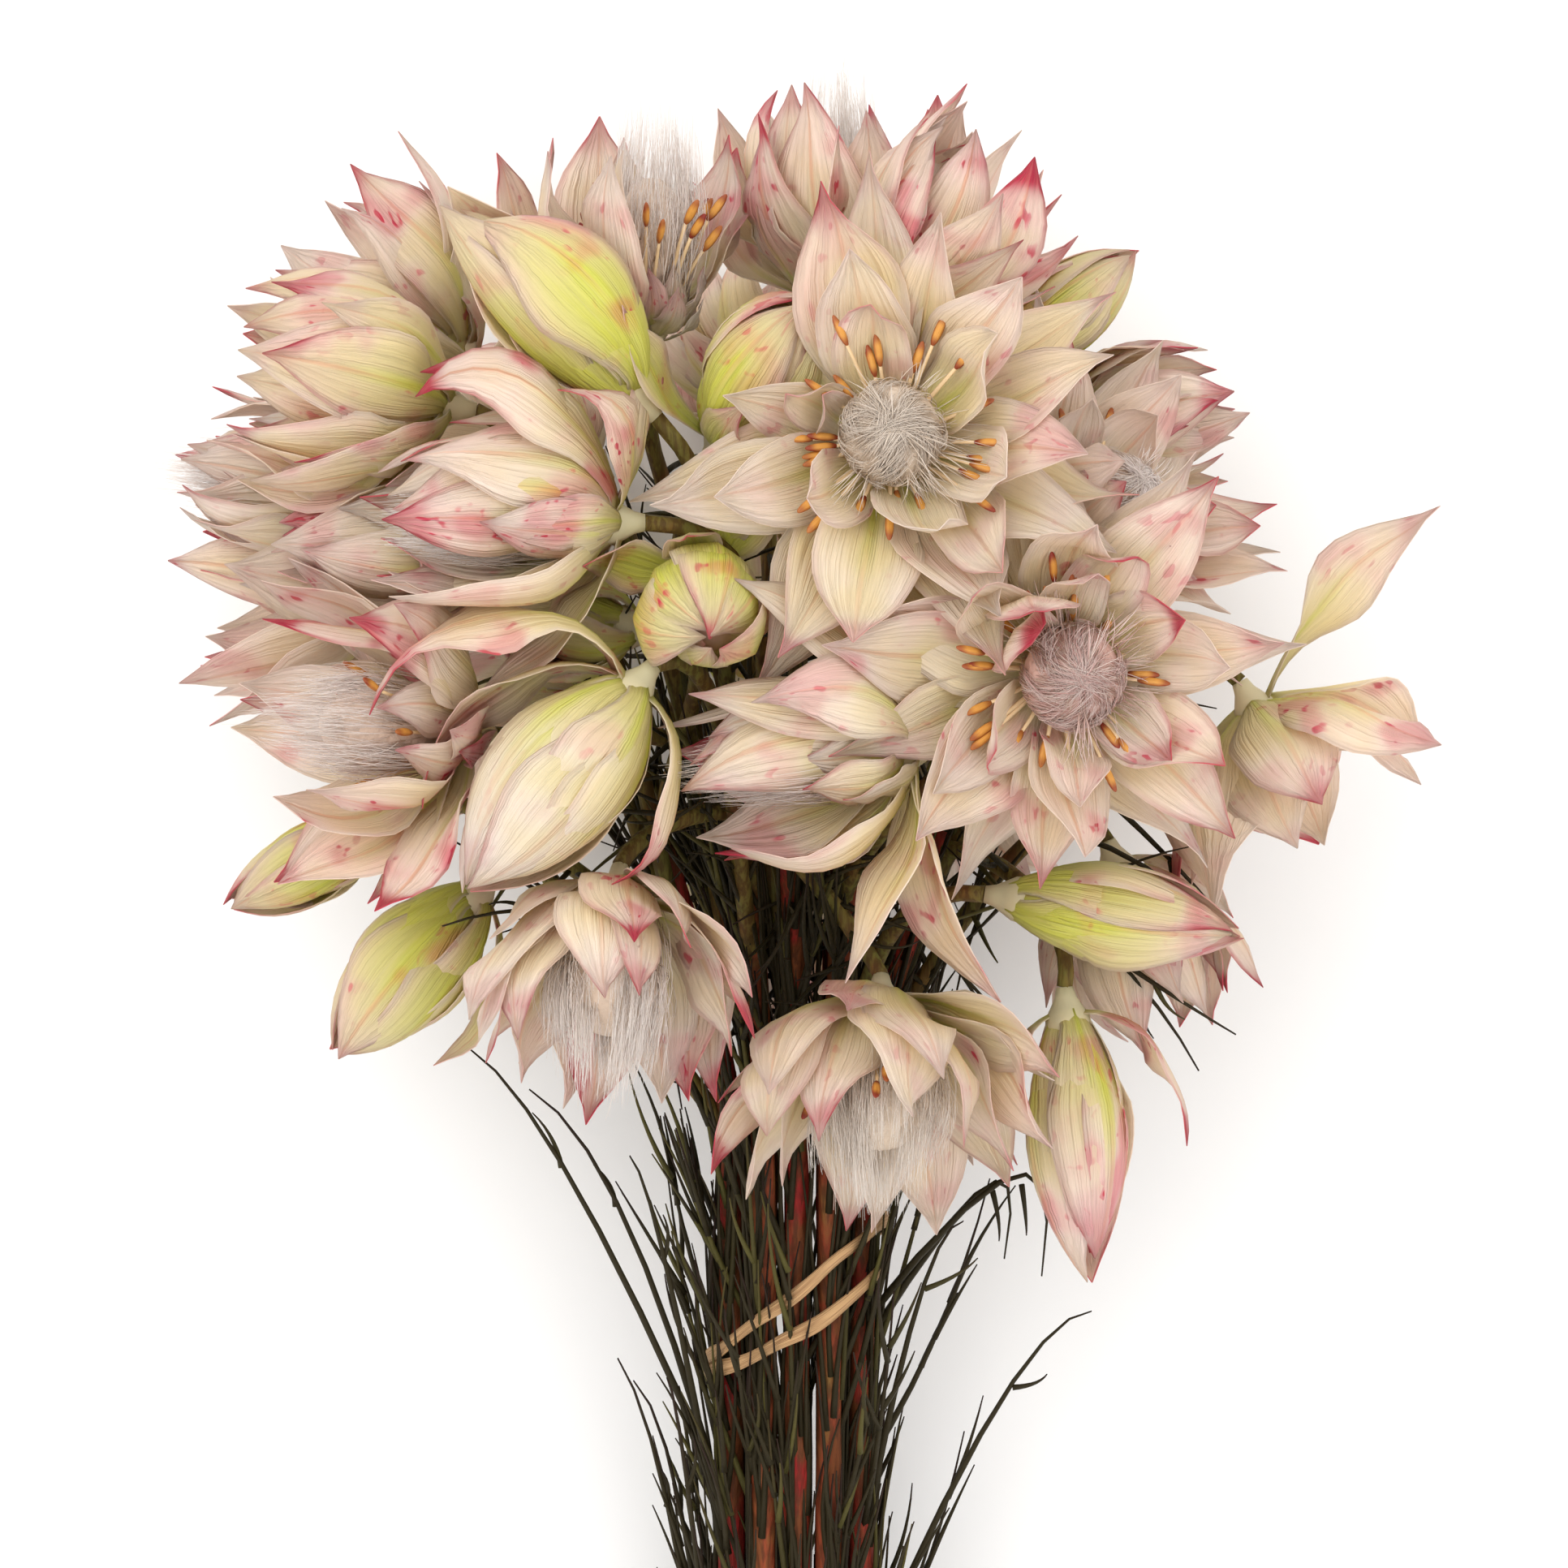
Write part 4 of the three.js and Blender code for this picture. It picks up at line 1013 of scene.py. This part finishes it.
def head_bracts(head):
    """The bracts that a head would have in free room, the stray ones first."""
    across, along = frame_of(head.axis)
    number = 100
    for name, towards, leans, length, width, twist in STRAYS:
        if name == head.name:
            number += 1
            towards = np.array(towards, float)
            azimuth = math.atan2(towards @ along, towards @ across)
            twist = math.radians(twist)
            yield Bract(head, azimuth, 0, length, STRAY_ROOT_HEIGHT, number, width, 0.04, twist, leans)
    number = 0
    nook, reach, share = NOOKS.get(head.name, ((0, 0, 1), -1, 1))
    nook = math.atan2(np.array(nook) @ along, np.array(nook) @ across)
    for count, opens, length, width, root_height, turn, blunt in head.rings():
        for k in range(count):
            number += 1
            place = k + turn + 0.3 * (vary(head.index, number, 1) - 0.5)
            azimuth = head.index + 2 * math.pi * place / count
            aside = abs((azimuth - nook + math.pi) % (2 * math.pi) - math.pi)
            held_back = share if aside < math.radians(reach) else 1
            yield Bract(
                head,
                azimuth,
                head.opening + opens + (0.02 if head.is_bud else 0.14) * (vary(head.index, number, 4) - 0.5),
                head.length * length * (0.9 + 0.14 * vary(head.index, number, 2)) * held_back,
                root_height,
                number,
                width * (0.9 + 0.2 * vary(head.index, number, 5)),
                (0.08 if head.is_bud else 0.26) * (vary(head.index, number, 3) - 0.5),
                blunt=blunt,
            )


def cup_places(shape, head):
    """The green base, on the end of its stalk."""
    height = np.interp(shape.at[:, 2], np.linspace(0, 1, len(CUP_HEIGHTS)), CUP_HEIGHTS)
    radius = np.interp(height, CUP_HEIGHTS, CUP_RADII)
    place = head.base + head.axis * height[:, None]
    return (place + set_round(shape, head.axis) * radius[:, None])[None]


def bud_core_places(shape, head):
    widest = head.length * (BUD_CORE_GIRTH + BUD_CORE_SWELL * head.opening)
    rise = shape.at[:, 2] * BUD_CORE_RISE * head.length
    place = head.at(BUD_CORE_MIDDLE * head.length) + head.axis * rise[:, None]
    place = place + set_round(shape, head.axis) * widest
    place[:, 2] = np.maximum(place[:, 2], FLOOR_GAP + 0.3)
    return place[None]


def make_heads(heads, shapes, look, room):
    papery = bract_material("papery_bract", look, 0.3)
    budding = bract_material("bud_bract", look, 0.85)
    shape, cup, core = shapes["bract"], shapes["cup"], shapes["core"]
    for head in heads:
        kept, tones = [], []
        for bract in head_bracts(head):
            tries = []
            for bend in BENDS:
                at = bract.at(shape.at, bend, look)
                tries.append((room.clashes(head.name, at, shape.faces), len(tries), at))
                if tries[-1][0] <= TOUCHES:
                    break
            clashes, _, at = min(tries, key=lambda found: found[:2])
            if not bract.leans and clashes > (MOST_BEHIND if head.is_hidden else MOST_IN_FRONT):
                continue
            room.take(head.name, at, shape.faces)
            kept.append(at)
            seed = vary(head.index, bract.number, 21)
            pink = head.pink
            if bract.leans and head.name in STRAY_PINKS:
                pink, seed = STRAY_PINKS[head.name], 0.65 + 0.35 * seed
            pink = np.clip(pink + 0.5 * (vary(head.index, bract.number, 22) - 0.5), 0, 1)
            green = np.clip(head.green + 0.3 * (vary(head.index, bract.number, 23) - 0.5), 0, 1)
            tones.append((seed, pink, green))
        blades = shape.copies(np.array(kept), tones, grid_blade(shape))
        solid = bpy.data.objects.new("blades", blades)
        bpy.context.scene.collection.objects.link(solid)
        add_wall(solid, look.thickness)
        graph = bpy.context.evaluated_depsgraph_get()
        thick = bpy.data.meshes.new_from_object(solid.evaluated_get(graph))
        bpy.data.objects.remove(solid)
        low_green = np.stack((cup.at[:, 2] * 0, cup.at[:, 2] * 0.2), 1)
        base = cup.copies(cup_places(cup, head), [(0.5, 0.2, 1.0)], low_green)
        meshes = [thick, base]
        if head.is_bud:
            round_at = np.stack((core.at[:, 2] * 0, core.at[:, 2] * 0.4 + 0.5), 1)
            tone = (0.5, head.pink, head.green)
            meshes.append(core.copies(bud_core_places(core, head), [tone], round_at))
        finish = budding if head.is_bud else papery
        add_piece(f"{head.name}_bracts", joined(meshes), [finish], head.name)


# ---- Tufts of florets ----


WISPS = 90  # hairs lean together in so many wisps


def tuft_size(head):
    """The middle height, the radius and half the height of a tuft."""
    if head.is_wide:
        return 11.8, 7.0, 6.6
    rise = 0.3 * head.length
    return 5.4 + rise, 4.2 + (8.0 if head.hangs else 5.0) * head.opening, rise


def dome(head, polar, turn, radius, foot, rise):
    """Points on a head's dome, from the angle from its top and the turn round it."""
    across, along = frame_of(head.axis)
    out = np.cos(turn)[:, None] * across + np.sin(turn)[:, None] * along
    ring = radius * np.sin(polar)[:, None]
    return head.at(foot) + head.axis * (rise * np.cos(polar))[:, None] + out * ring, out


def tuft_hairs(head, count, rng):
    """Start, bend and end of each hair of a tuft, in wisps that lean together."""
    wisp = rng.integers(0, WISPS, count)
    turns = rng.uniform(0, 2 * math.pi, WISPS)
    foot, radius, rise = tuft_size(head)
    if head.is_wide:
        polars = np.arccos(rng.uniform(-0.45, 0.998, WISPS))
        polar = np.clip(polars[wisp] + rng.normal(0, 0.17, count), 0, 2.1)
        start, out = dome(head, polar, turns[wisp] + rng.normal(0, 0.17, count), radius, foot, rise)
        reach = (rng.uniform(4.5, 9, WISPS)[wisp]) * rng.uniform(0.8, 1.1, count)
        swirl = rng.normal(0.45, 0.35, WISPS)[wisp]
        lift = rng.uniform(1.0, 1.1, WISPS)[wisp]
        upper = np.maximum(polars[wisp] - reach / radius, -0.6)
        end, _ = dome(head, upper, turns[wisp] + swirl, radius, foot, rise)
        end = head.at(foot) + (end - head.at(foot)) * lift[:, None] + rng.normal(0, 0.25, (count, 3))
        fringe = wisp < WISPS // 8
        low = unit(out + rng.normal(0, 0.25, (count, 3)) - head.axis * 0.15)
        end[fringe] = (start + low * (0.8 * reach)[:, None])[fringe]
        middle = (start + end) / 2
        bend = middle + unit(middle - head.at(foot)) * (reach * 0.22)[:, None]
        return start, bend, end
    ring = radius * np.sqrt(rng.uniform(0.03, 1, WISPS))
    across, along = frame_of(head.axis)
    out = np.cos(turns)[:, None] * across + np.sin(turns)[:, None] * along
    tall = (rise * 2 + 3.5) * rng.uniform(0.86, 1.16, WISPS) * (1.12 - 0.4 * (ring / radius) ** 2)
    flare = 0.78 + 0.3 * rng.uniform(0, 1, WISPS) * head.opening * 2
    ends = head.at(foot - rise) + head.axis * tall[:, None] + out * (ring * flare)[:, None]
    low = rng.uniform(0, 1.1 * rise, count)
    start = head.at(foot - rise) + head.axis * low[:, None] + (out * (ring * 0.8)[:, None])[wisp]
    start = start + rng.normal(0, 0.9, (count, 3))
    end = ends[wisp] + rng.normal(0, 0.8, (count, 3)) + head.axis * rng.normal(0, 1.0, count)[:, None]
    bend = (start + end) / 2 + (out * (ring * 0.28 + 0.5)[:, None])[wisp]
    return start, bend, end


def core_places(shape, head):
    """The core among the roots of a tuft's hairs: a ball coloured as painted shade, where the hairs shade
    each other.
    """
    foot, radius, rise = tuft_size(head)
    place = head.at(foot) + head.axis * (shape.at[:, 2] * rise * 0.94)[:, None]
    girth = radius * (0.92 if head.is_wide else 0.74)
    return (place + set_round(shape, head.axis) * girth)[None]


def anther_rows(head, rng):
    """Start, bend and end of each anther's lobe, and the direction in which the anther lies on its end."""
    count = head.anthers
    across, along = frame_of(head.axis)
    pair = np.arange(count) // 2
    turn = 2 * math.pi * (pair * 5 + 0.3 * (np.arange(count) % 2)) / max(count // 2, 1)
    turn = turn + (rng.normal(0, 0.3, count) if head.is_wide else rng.normal(0, 0.05, count))
    out = np.cos(turn)[:, None] * across + np.sin(turn)[:, None] * along
    _, radius, rise = tuft_size(head)
    if head.is_wide:
        far = rng.uniform(7, 13.5, count)
        tall = 7.2 + 0.42 * (far - 6) + rng.uniform(-0.8, 1.4, count)
    else:
        far = radius + rng.uniform(0.2, 1.2, count)
        tall = 5 + rise * rng.uniform(0.9, 1.5, count)
    start = head.at(LOBE_ROOT[1]) + out * LOBE_ROOT[0]
    end = head.at(0) + head.axis * tall[:, None] + out * far[:, None]
    bend = (start + end) / 2 + head.axis * 1.2
    return start, bend, end, unit(out + head.axis * (0.3 if head.is_wide else 1.5))


def anther_places(shape, ends, ways):
    side = unit(np.cross(ways, ASKEW))
    other = np.cross(ways, side)
    x, y, z = (shape.at[None, :, k : k + 1] for k in range(3))
    place = ends[:, None, :] + ways[:, None, :] * (z + 0.8) * (ANTHER_LENGTH / 2)
    return place + ANTHER_RADIUS * (side[:, None, :] * x + other[:, None, :] * y * 0.7)


def make_tufts(heads, shapes, look):
    materials = [
        hair_material("silky_hair", look),
        root_shade_material("painted_root_shade", look),
        anther_material("anthers_and_lobes", look),
    ]
    hair, core, lobe, anther = (shapes[name] for name in ("hair", "core", "lobe", "anther"))
    for head in heads:
        if not head.shows_florets:
            continue
        rng = np.random.default_rng(head.index)
        count = int(look.hairs * (1.6 if head.is_wide or head.hangs else 1))
        start, bend, end = tuft_hairs(head, count, rng)
        radii = look.hair_radius / MM * rng.uniform(0.7, 1.25, count)
        pink, cream = HAIR_TONES[head.name]
        pinks = np.clip(pink * rng.uniform(0.4, 1.3, count), 0, 1)
        tones = np.stack((rng.uniform(0, 1, count), pinks, np.full(count, cream)), axis=1)
        meshes = [hair.copies(rods(hair, start, bend, end, radii), tones, rod_blade(hair), 0)]
        # The core carries painted shade among the hair roots
        meshes.append(core.copies(core_places(core, head), [(0.5, pink, 0)], core.at[:, :2], 1))
        if head.anthers:
            start, bend, end, way = anther_rows(head, rng)
            ones = np.ones(head.anthers)
            lobes = rods(lobe, start, bend, end, ones * LOBE_RADIUS, ones * LOBE_FLATNESS)
            seeds = rng.uniform(0, 1, head.anthers)
            zeros = ones * 0
            meshes.append(lobe.copies(lobes, np.stack((seeds, ones * 0.4, ones), 1), rod_blade(lobe), 2))
            longs = anther_places(anther, end, way)
            turned = np.stack((anther.at[:, 0] * 0.5 + 0.5, anther.at[:, 2] * 0.5 + 0.5), axis=1)
            meshes.append(anther.copies(longs, np.stack((seeds, zeros, zeros), 1), turned, 2))
        add_piece(f"{head.name}_tuft", joined(meshes), materials, f"{head.name}_florets")


# ---- Stems ----


class Stem:
    """A leafy stem: its line through the bundle, and the lines of its flower stalks."""

    def __init__(self, number, row):
        self.number = number
        self.name, (self.column, self.row), fork = row

        def at(y, spread):
            z = TIE_Z + (END_Z - TIE_Z) * (y - TIE_Y) / (END_Y - TIE_Y)
            return (BUNDLE_X + self.column * STEM_GAP * spread, y, z + self.row * STEM_GAP)

        end = at(END_Y + 9 * (vary(self.column, self.row, 6) - 0.5), 1.12)
        self.line = curve_points((end, at(-165, 1), at(TIE_Y, 1), at(-66, 1.06), fork))
        self.lines = {self.name: self.line}
        self.forks = 0

    def grow_stalk(self, head, solid):
        """Gives a head its stalk: the one fork and bow of all that runs inside the stem's solid."""
        fork = LAST_FORK - FORK_STEP * self.forks
        self.forks += 1
        ways = []
        for shift in FORK_SHIFTS:
            start, along = on_line(self.line, min(LAST_FORK, fork + shift))
            end = head.at(STALK_END)
            span = np.linalg.norm(end - start)
            for swing in SWINGS:
                leave = start + along * (0.22 * span)
                leave = leave + (end - leave) * 0.2 + swing
                meet = end - head.axis * (0.34 * span) + swing
                line = bezier_points(start, leave, meet, end)
                far = max(solid.find_nearest(Vector((p - REST_SPOT) * MM))[3] for p in line[6:-3:4])
                ways.append((far, len(ways), line))
        self.lines[head.name] = min(ways, key=lambda way: way[:2])[2]


def solid_tree(node):
    """A solid's surface, for finding what runs inside it."""
    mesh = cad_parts[node].data
    return BVHTree.FromPolygons(coordinates(mesh).tolist(), [tuple(p.vertices) for p in mesh.polygons])


def along_line(shape, line, radii, ridge=0.0, seed=0.0):
    """Bends a rod along a line, between two thicknesses, with ridges and swellings."""
    share = shape.at[:, 2]
    at = share * (len(line) - 1)
    steps = np.arange(len(line))
    middle = np.stack([np.interp(at, steps, line[:, k]) for k in range(3)], axis=1)
    ways = unit(np.gradient(line, axis=0))
    way = unit(np.stack([np.interp(at, steps, ways[:, k]) for k in range(3)], axis=1))
    side = unit(np.cross(way, np.array((0.31, 0.12, 0.94))))
    other = np.cross(way, side)
    turn = np.arctan2(shape.at[:, 1], shape.at[:, 0])
    radius = radii[0] + (radii[1] - radii[0]) * share
    radius = radius * (1 + ridge * np.sin(5 * turn + 9 * share + seed) + ridge * np.sin(40 * share + seed))
    return (middle + (side * shape.at[:, 0:1] + other * shape.at[:, 1:2]) * radius[:, None])[None]


GAP_LEAVES = 38  # needles of each stem in the gaps among the heads
GAP_TOP = 64  # how high they reach


def leaf_rows(stem, look, rng):
    """Start, bend, end and thickness of each segment of a stem's divided needle leaves."""
    outwards = np.array((stem.column, 0, stem.row), float)
    is_inner = not outwards.any()
    outwards = UP if is_inner else unit(outwards)
    rows = []
    for i in range(look.leaves if not is_inner else 5):
        first, stretch = (0.72, 0.26) if is_inner else (0.02, 0.95)
        share = first + stretch * (i + rng.uniform(0, 0.7)) / look.leaves
        root, way = on_line(stem.line, min(share, 0.97))
        side = rng.uniform(-1.35, 1.35)
        out = outwards * math.cos(side) + np.cross(way, outwards) * math.sin(side)
        out = unit(out - way * (out @ way))
        lean = math.radians(rng.uniform(8, 34))
        spine = rng.uniform(26, 46)
        start = root + out * 0.8
        bend = root + (way * math.cos(lean) + out * math.sin(lean)) * spine * 0.5
        end = bend + (way * math.cos(lean * 0.4) + out * math.sin(lean * 0.4)) * spine * 0.5
        rows.append((start, bend, end, 1.0))
        for k in range(rng.integers(3, 6)):
            at = rng.uniform(0.25, 0.8)
            foot = start * (1 - at) ** 2 + 2 * bend * at * (1 - at) + end * at**2
            flank = unit(np.cross(way, out)) * (1 if k % 2 else -1)
            spread = math.radians(rng.uniform(12, 30))
            reach = rng.uniform(10, 20)
            ahead = unit(end - start)
            knee = foot + (ahead * math.cos(spread) + flank * math.sin(spread)) * reach * 0.5
            turned = ahead + flank * rng.uniform(-0.1, 0.25) + out * rng.uniform(-0.1, 0.3)
            tip = knee + turned * reach * 0.5
            rows.append((foot, knee, tip, 0.85))
    for _ in range(0 if is_inner else look.pressed):
        root, way = on_line(stem.line, rng.uniform(0, 0.93))
        side = rng.uniform(-1.4, 1.4)
        out = outwards * math.cos(side) + np.cross(way, outwards) * math.sin(side)
        flank = unit(np.cross(way, out))
        reach = rng.uniform(20, 44)
        start = root + out * 1.7
        bend = start + way * reach * 0.5 + out * rng.uniform(0.1, 1.8) + flank * rng.uniform(-3, 3)
        end = start + way * reach + out * rng.uniform(-0.8, 4) + flank * rng.uniform(-5, 5)
        rows.append((start, bend, end, rng.uniform(0.75, 1.05)))
    for i in range(GAP_LEAVES):
        lines = list(stem.lines.values())
        line = lines[i % len(lines)]
        low, high = (0.78, 1.0) if line is stem.line else (0.1, 0.75)
        root, way = on_line(line, rng.uniform(low, high))
        out = unit(rng.normal(0, 1, 3) + way * 0.5)
        reach = rng.uniform(12, 26)
        bend = root + out * reach * 0.5
        end = bend + unit(out + rng.normal(0, 0.35, 3)) * reach * 0.5
        end[2] = min(end[2], GAP_TOP)
        rows.append((root, bend, end, rng.uniform(0.7, 1.0)))
    return rows


def lone_rows(stem, rng):
    """The needle leaves that stand out on their own, each with a side segment."""
    rows = []
    for carrier, share, bend, tip in LONE_NEEDLES:
        if carrier not in stem.lines:
            continue
        root, _ = on_line(stem.lines[carrier], share)
        bend, tip = np.array(bend, float), np.array(tip, float)
        knee = bend * 1.5 - (root + tip) * 0.25
        rows.append((root, knee, tip, 1.1))
        side = unit(np.cross(tip - root, UP))
        foot = root * 0.2 + knee * 0.45 + tip * 0.35
        end = foot + unit(tip - bend + side * 5) * rng.uniform(5, 9)
        rows.append((foot, (foot + end) / 2 + side * 1.4, end, 0.8))
    return rows


def make_stems(stems, shapes, look, room):
    material = stem_material("bark_and_needles", look)
    rod, stalk, needle = shapes["stem"], shapes["stalk"], shapes["needle"]
    thick, thin, fine = (r / MM for r in (look.stem_radius, look.stalk_radius, look.needle_radius))
    for stem in stems:
        rng = np.random.default_rng(100 + stem.number)
        places = along_line(rod, stem.line, (thick, 0.8 * thick), 0.035, stem.number)
        tone = (rng.uniform(), rng.uniform(0.0, 0.75), 0)
        meshes = [rod.copies(places, [tone], rod_blade(rod))]
        room.take(stem.name, places[0], rod.faces)
        for name, line in stem.lines.items():
            if name == stem.name:
                continue
            places = along_line(stalk, line, (1.15 * thin, thin), 0.03, stem.number)
            meshes.append(stalk.copies(places, [(rng.uniform(), 0.66, 0)], rod_blade(stalk)))
            room.take(name, places[0], stalk.faces)
        rows = leaf_rows(stem, look, rng) + lone_rows(stem, rng)
        starts, bends, ends, sizes = (np.array(part, float) for part in zip(*rows))
        for points in (bends, ends):
            points[:, 2] = np.maximum(points[:, 2], NEEDLE_LOWEST)
        places = rods(needle, starts, bends, ends, sizes * fine)
        tones = np.stack((rng.uniform(0, 1, len(rows)), np.zeros(len(rows)), np.ones(len(rows))), axis=1)
        meshes.append(needle.copies(places, tones, rod_blade(needle)))
        add_piece(f"{stem.name}_dressed", joined(meshes), [material], stem.name)


# ---- Raffia ----


def make_tie(shapes, look):
    shape = shapes["strand"]
    places, tones = [], []
    for number, (left, right) in enumerate(TIE_TURNS):
        across, share = 2 * shape.at[:, 0], shape.at[:, 1] + 0.5
        angle = 2 * math.pi * share
        middle = (left + right) / 2
        wobble = 0.3 * np.sin(3 * angle + number) + 0.2 * np.sin(7 * angle + 2 * number)
        y = middle + (right - middle) * np.cos(angle) + wobble - TIE_SAGS[number] * np.sin(angle)
        z = TIE_Z + (END_Z - TIE_Z) * (y - TIE_Y) / (END_Y - TIE_Y)
        width = look.strand / MM / 2 * (1 + 0.12 * np.sin(5 * angle + number))
        lift = 0.18 * np.cos(math.pi * across) * 0.5 + 0.12 * np.sin(9 * angle)
        twist = 0.25 * np.sin(2 * angle + 1.3 * number)
        out = lift + across * width * np.sin(twist)
        x = BUNDLE_X + (TIE_HALF_WIDTH + out) * np.cos(angle)
        z = z + (TIE_HALF_HEIGHT + out) * np.sin(angle)
        places.append(np.stack((x, y + across * width * np.cos(twist), z), axis=1))
        tones.append((0.5, 0.5, number))
    strands = shape.copies(np.array(places), tones, grid_blade(shape))

    def close_turns(bm):
        bm.from_mesh(strands)
        bmesh.ops.remove_doubles(bm, verts=bm.verts, dist=0.02 * MM)
        bmesh.ops.recalc_face_normals(bm, faces=bm.faces)

    mesh = made_mesh("raffia", close_turns)
    piece = add_piece("raffia_strands", mesh, [raffia_material("raffia_straw", look)], "raffia_tie")
    add_wall(piece, look.thickness)


# ---- Stage ----

HEADS_HEIGHT = 60  # of the middle of the heads
VIEW_CENTRE = (7.26, -23.76)
LIT_POINT = (0.005, -0.02, 0.04)  # in metres


def add_light(name, place, size, power, shade):
    data = bpy.data.lights.new(name, "AREA")
    data.shape = "DISK"
    data.size = size
    data.energy = power
    data.color = shade
    lamp = bpy.data.objects.new(name, data)
    lamp.location = place
    lamp.rotation_euler = (Vector(LIT_POINT) - Vector(place)).to_track_quat("-Z", "Y").to_euler()
    bpy.context.scene.collection.objects.link(lamp)


def make_stage(look):
    scene = bpy.context.scene
    mesh = made_mesh("floor", lambda bm: bmesh.ops.create_grid(bm, x_segments=1, y_segments=1, size=3))
    shader = Shader("pale_floor")
    grain = shader.noise(shader.place(), 30, 2)
    shade = shader.mix(grain * 0.3, look.floor, tuple(0.98 * c for c in look.floor))
    mesh.materials.append(shader.finish(shader.surface({"Base Color": shade, "Roughness": 0.9})))
    floor = bpy.data.objects.new("floor", mesh)
    scene.collection.objects.link(floor)

    world = bpy.data.worlds.new("studio")
    world.use_nodes = True
    background = world.node_tree.nodes["Background"]
    background.inputs["Color"].default_value = (1.0, 0.988, 0.975, 1)
    background.inputs["Strength"].default_value = 1.1
    scene.world = world
    scene.view_settings.view_transform = "Standard"
    add_light("key", (-0.45, 0.4, 0.95), 1.2, 5.5, (1.0, 0.98, 0.95))
    add_light("fill", (0.6, -0.3, 0.8), 1.0, 2.0, (1.0, 0.98, 0.96))

    camera = bpy.data.cameras.new("camera")
    camera.sensor_width = 36
    camera.lens = camera.sensor_width * (look.camera_height - HEADS_HEIGHT * MM) / look.view_width
    eye = bpy.data.objects.new("camera", camera)
    across, along = (np.array(VIEW_CENTRE) - REST_SPOT[:2]) * MM
    eye.location = (across, along, look.camera_height)
    scene.collection.objects.link(eye)
    scene.camera = eye


# ---- Operators ----

bunch = {}


def plan():
    """The heads, stems and shapes that all the operators share."""
    if not bunch:
        bunch["heads"] = [Head(index, row) for index, row in enumerate(HEADS)]
        bunch["stems"] = [Stem(number, row) for number, row in enumerate(STEMS)]
        solids = {stem.name: solid_tree(stem.name) for stem in bunch["stems"]}
        for head in bunch["heads"]:
            stem = bunch["stems"][head.stem]
            stem.grow_stalk(head, solids[stem.name])
        bunch["shapes"] = make_shapes()
        bunch["room"] = Room()
    return bunch


class BUNCH_OT_stems(bpy.types.Operator):
    """Adds the leafy stems with their flower stalks"""

    bl_idname = "bunch.stems"
    bl_label = "Leafy Stems"

    def execute(self, context):
        parts = plan()
        make_stems(parts["stems"], parts["shapes"], context.scene.bunch_stems, parts["room"])
        return {"FINISHED"}


class BUNCH_OT_tufts(bpy.types.Operator):
    """Adds the hairy tufts of florets with their anthers"""

    bl_idname = "bunch.tufts"
    bl_label = "Floret Tufts"

    def execute(self, context):
        parts = plan()
        make_tufts(parts["heads"], parts["shapes"], context.scene.bunch_tufts)
        return {"FINISHED"}


class BUNCH_OT_heads(bpy.types.Operator):
    """Adds the bracts of the flower heads and buds"""

    bl_idname = "bunch.heads"
    bl_label = "Flower Heads"

    def execute(self, context):
        parts = plan()
        make_heads(parts["heads"], parts["shapes"], context.scene.bunch_bracts, parts["room"])
        return {"FINISHED"}


class BUNCH_OT_tie(bpy.types.Operator):
    """Adds the raffia tie"""

    bl_idname = "bunch.tie"
    bl_label = "Raffia Tie"

    def execute(self, context):
        make_tie(plan()["shapes"], context.scene.bunch_tie)
        return {"FINISHED"}


class BUNCH_OT_stage(bpy.types.Operator):
    """Adds the floor, the lights and the camera"""

    bl_idname = "bunch.stage"
    bl_label = "Stage"

    def execute(self, context):
        make_stage(context.scene.bunch_stage)
        return {"FINISHED"}


OPERATORS = (BUNCH_OT_stage, BUNCH_OT_stems, BUNCH_OT_tufts, BUNCH_OT_heads, BUNCH_OT_tie)


class BUNCH_PT_panel(bpy.types.Panel):
    """Lists the steps that make the bunch, with their sizes and colours"""

    bl_idname = "BUNCH_PT_panel"
    bl_label = "Blushing Bride"
    bl_space_type = "VIEW_3D"
    bl_region_type = "UI"
    bl_category = "Blushing Bride"

    def draw(self, context):
        for step in OPERATORS:
            self.layout.operator(step.bl_idname)
        for key, group in GROUPS.items():
            box = self.layout.box()
            for name in group.__annotations__:
                box.prop(getattr(context.scene, key), name)


CLASSES = (*GROUPS.values(), *OPERATORS, BUNCH_PT_panel)


def register():
    for cls in CLASSES:
        bpy.utils.register_class(cls)
    for key, group in GROUPS.items():
        setattr(bpy.types.Scene, key, bpy.props.PointerProperty(type=group))


def unregister():
    for key in GROUPS:
        delattr(bpy.types.Scene, key)
    for cls in reversed(CLASSES):
        bpy.utils.unregister_class(cls)


def main():
    register()
    for step in OPERATORS:
        namespace, name = step.bl_idname.split(".")
        getattr(getattr(bpy.ops, namespace), name)()


if __name__ == "__main__":
    main()
